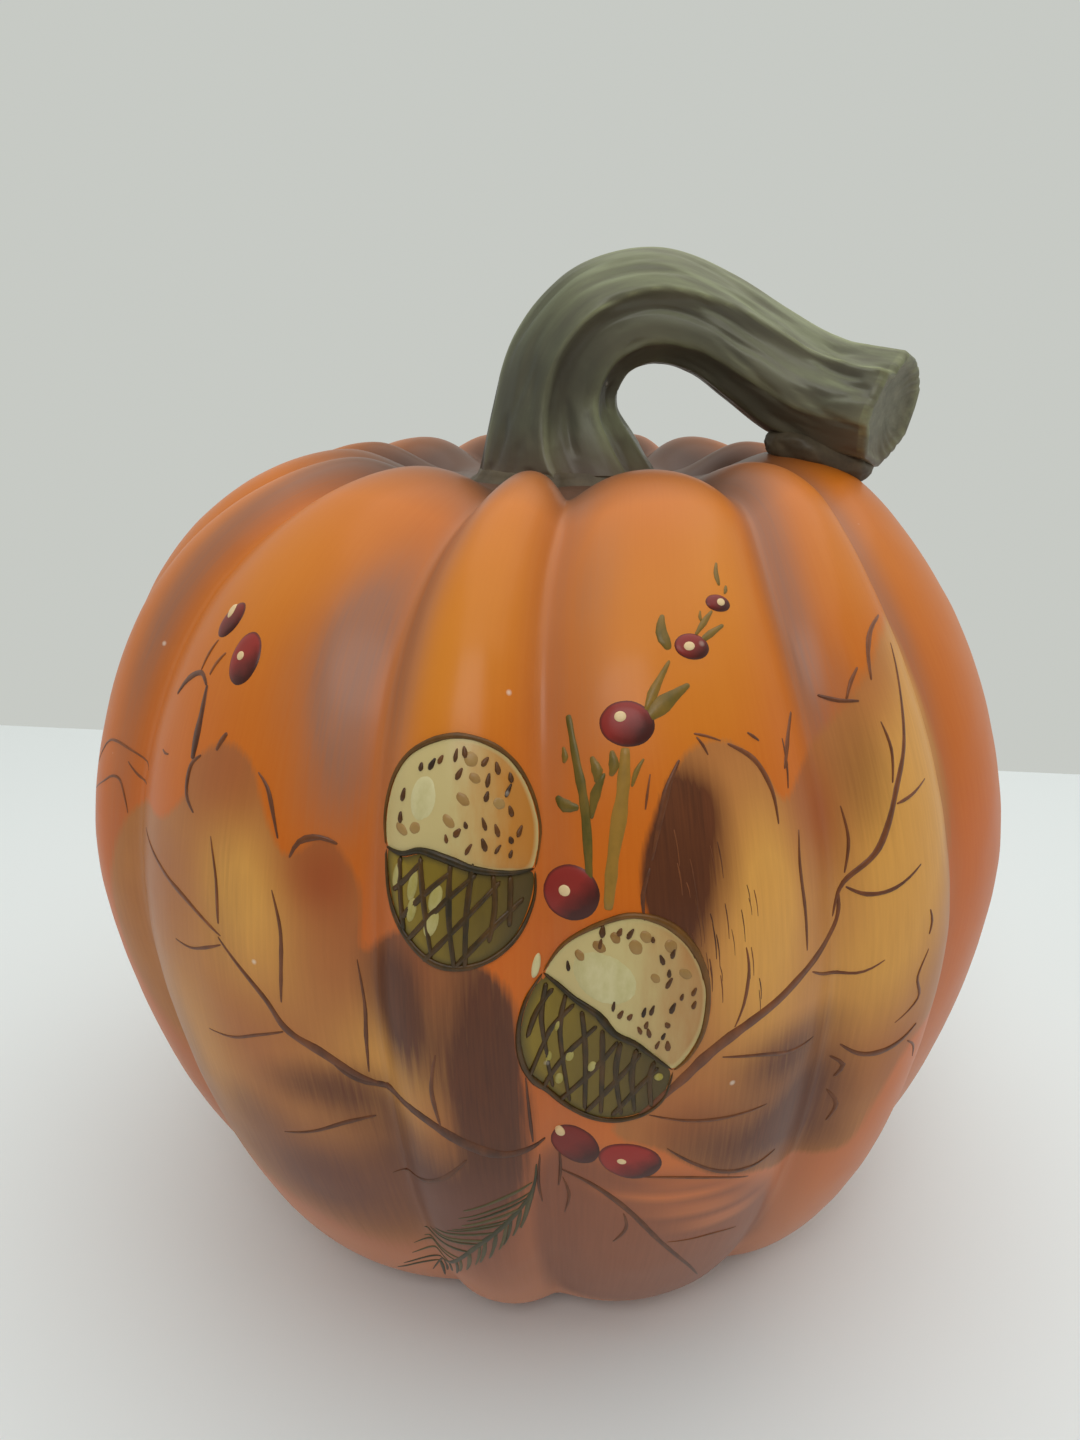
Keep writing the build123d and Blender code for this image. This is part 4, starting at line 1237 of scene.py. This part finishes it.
# A lighter ring round the edge of the cut end: painted highlight.
cut_rim_highlight = count(tree, "MULTIPLY", mask(tree, "cut_rim"), spread(tree, streak, 0.2, 0.8, 0.1, 0.6))
green = mix(tree, cut_rim_highlight, green, tint(140, 142, 104))
above = shade(tree, "ShaderNodeSeparateXYZ", {0: object_place(tree)}).outputs["Z"]
green = mix(tree, spread(tree, above, 0.1575, 0.149, 0.0, 0.7), green, tint(84, 60, 46))
varnished(tree, surface, green, coat=0.25, rough=0.5, relief=0.0002, specks=0.3)

stem_mesh = bmesh.new()
for name in ("ridge", "hollow", "stem_top_light", "left_side_shade", "cut", "cut_rim", "bend", "spoke", "length"):
    stem_mesh.verts.layers.float.new(name)
stem_grain = stem_mesh.verts.layers.float_vector.new("grain")
stem_rows = stem_last + len(CUT_FACE) + 1


def stem_place(column, row):
    """A point of the stem: the middle of its foot, its skin, then the cut face."""
    angle = 360.0 * (column % STEM_COLUMNS) / STEM_COLUMNS - 180.0
    if row == 0:
        return on_stem(angle, 0, 0.0)
    if row <= stem_last + 1:
        return on_stem(angle, row - 1)
    size, beyond = CUT_FACE[row - stem_last - 2]
    return on_stem(angle, stem_last, size, beyond)


def stem_marks(column, row):
    """What the material reads there: the painted highlight of the ridges, the painted shade of the hollows,
    the cut, and the place along and round the stem.
    """
    angle = 360.0 * column / STEM_COLUMNS - 180.0
    on_cut = max(0, row - stem_last - 3)
    crest, hollow = ridge_height(angle, min(1.0, max(0, row - 1) / stem_last))[1:]
    return {
        "ridge": crest if on_cut == 0 else 0.0,
        "hollow": hollow if on_cut == 0 else 0.0,
        "cut": min(1.0, on_cut / 2.0),
        "cut_rim": 1.0 if stem_last - 1 <= row <= stem_last + 4 else 0.0,
        "bend": math.radians(angle),
        "spoke": 1.0 if row <= stem_last + 1 else CUT_FACE[row - stem_last - 2][0],
        "length": min(row, stem_last) / stem_last,
    }


wrap_grid(stem_mesh, STEM_COLUMNS, stem_rows, stem_place, stem_marks)
bmesh.ops.recalc_face_normals(stem_mesh, faces=stem_mesh.faces)
stem_mesh.normal_update()
# Painted light: the stem is lighter green where it faces up, lit from above, and darker where it faces left,
# in painted shade.
stem_floats = stem_mesh.verts.layers.float
for vertex in stem_mesh.verts:
    normal = vertex.normal
    vertex[stem_floats["stem_top_light"]] = min(1.0, max(0.0, 1.1 * normal.z + 0.05 * normal.x - 0.04)) ** 0.8
    # Painted shade on the side that faces left.
    vertex[stem_floats["left_side_shade"]] = min(1.0, max(0.0, -1.1 * normal.x - 0.1))
    bend = vertex[stem_floats["bend"]]
    across = STEM_THICKNESS * vertex[stem_floats["spoke"]]
    length = STEM_LENGTH * vertex[stem_floats["length"]]
    vertex[stem_grain] = (across * math.cos(bend), across * math.sin(bend), length)
stem_piece = finish_mesh(stem_mesh, "stem_carved", stem_green)
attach(stem_piece, "root")
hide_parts("stem")


# ---- Slip joints ----------------------------------------------------------
# Liquid clay that lutes the stem to the body: a bead squeezed out round its
# foot, and a small lump under its tip. Fired with it and washed brown.
BEAD_SECTION = [
    # size as a part of the stem's foot, and height in mm
    (0.0, 146.6), (1.13, 146.6), (1.11, 147.0), (1.05, 147.6),
    (1.01, 148.3), (0.985, 149.0), (0.94, 149.3), (0.0, 149.3),
]
BEAD_COLUMNS = 96
BEAD_LUMPS = 0.035         # unevenness of the bead
TIP_LUMP_CENTRE = (50.6, -6.6, 151.9)
TIP_LUMP_SIZE = (10.6, 6.4, 4.7)   # half sizes in mm
TIP_LUMP_TILT = 16.0       # degrees that it slopes down to the right

slip_brown, tree, surface = new_material("slip_brown")
streak, cloud = bristled(tree, (300.0, 300.0, 300.0))
brown = mix(tree, streak, tint(76, 64, 50), tint(102, 88, 68))
brown = mix(tree, cloud, brown, tint(88, 82, 64), 0.4)
varnished(tree, surface, brown, coat=0.12, rough=0.65, relief=0.0003, specks=0.3)


def bead_place(column, row):
    """A point of the bead, which follows the outline of the stem's foot."""
    angle = 360.0 * (column % BEAD_COLUMNS) / BEAD_COLUMNS - 180.0
    size, height = BEAD_SECTION[row]
    point = on_stem(angle, 0, size)
    turn = math.radians(angle)
    lump = 1.0 + BEAD_LUMPS * noise.noise(Vector((math.cos(turn) * 3, math.sin(turn) * 3, 0.3 * row)))
    centre_x, centre_y = STEM_STATIONS[0][:2]
    return Vector((centre_x + (point.x - centre_x) * lump, centre_y + (point.y - centre_y) * lump, height))


base_bead = bmesh.new()
wrap_grid(base_bead, BEAD_COLUMNS, len(BEAD_SECTION) - 1, bead_place, lambda column, row: {})
bmesh.ops.recalc_face_normals(base_bead, faces=base_bead.faces)
base_slip = finish_mesh(base_bead, "stem_base_bead", slip_brown)
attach(base_slip, "root")
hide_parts("stem_base_slip")

tip_lump = bmesh.new()
bmesh.ops.create_icosphere(tip_lump, subdivisions=5, radius=1.0)
for vertex in tip_lump.verts:
    vertex.co *= 1.0 + 0.10 * noise.noise(vertex.co * 1.7) + 0.03 * noise.noise(vertex.co * 5.0)
bmesh.ops.scale(tip_lump, vec=TIP_LUMP_SIZE, verts=tip_lump.verts)
slope = Matrix.Rotation(math.radians(TIP_LUMP_TILT), 3, "Y")
bmesh.ops.rotate(tip_lump, cent=(0, 0, 0), matrix=slope, verts=tip_lump.verts)
bmesh.ops.translate(tip_lump, vec=TIP_LUMP_CENTRE, verts=tip_lump.verts)
tip_slip = finish_mesh(tip_lump, "stem_tip_lump", slip_brown)
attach(tip_slip, "root")
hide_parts("stem_tip_slip")


# ---- Felt pads ------------------------------------------------------------
# Four die-cut discs of self-adhesive pressed felt, brown, stuck under the foot
# so that the ceramic doesn't scratch the table.
PAD_AZIMUTHS = {"front_left": -45.0, "front_right": 45.0, "back_right": 135.0, "back_left": 225.0}
PAD_SEGMENTS = 64
PAD_EDGE = 0.0003          # how far its rim is rounded
PAD_WOBBLE = 0.006         # unevenness of the felt

felt_brown, tree, surface = new_material("felt_brown")
place = object_place(tree)
fibres = grainy(tree, place, 1800.0, 4.0, Distortion=1.5)
tufts = grainy(tree, place, 260.0, 3.0)
felted = mix(tree, fibres, tint(62, 48, 38), tint(104, 84, 68))
felted = mix(tree, tufts, felted, tint(84, 70, 60), 0.4)
tree.links.new(felted, surface.inputs["Base Color"])
fuzz = shade(tree, "ShaderNodeBump", {"Height": fibres, "Strength": 0.8, "Distance": 0.0002})
tree.links.new(fuzz.outputs["Normal"], surface.inputs["Normal"])
surface.inputs["Roughness"].default_value = 0.95
surface.inputs["Sheen Weight"].default_value = 0.3
for place_name, azimuth in PAD_AZIMUTHS.items():
    low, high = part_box(f"felt_pad_{place_name}")
    middle = (low + high) / 2
    radius = (high.x - low.x) / 2
    pad = bmesh.new()
    bmesh.ops.create_cone(
        pad, cap_ends=True, segments=PAD_SEGMENTS, radius1=radius, radius2=radius, depth=high.z - low.z,
    )
    rims = [edge for edge in pad.edges if any(len(face.verts) > 4 for face in edge.link_faces)]
    bmesh.ops.bevel(
        pad, geom=rims, offset=PAD_EDGE, affect="EDGES", segments=3, profile=0.5, material=-1,
    )
    for vertex in pad.verts:
        vertex.co *= 1.0 + PAD_WOBBLE * noise.noise(vertex.co * 900.0 + Vector((azimuth, 0, 0)))
    bmesh.ops.translate(pad, vec=middle, verts=pad.verts)
    felt_pad = finish_mesh(pad, f"pad_{place_name}", felt_brown, scale=1.0)
    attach(felt_pad, "root")
    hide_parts(f"felt_pad_{place_name}")
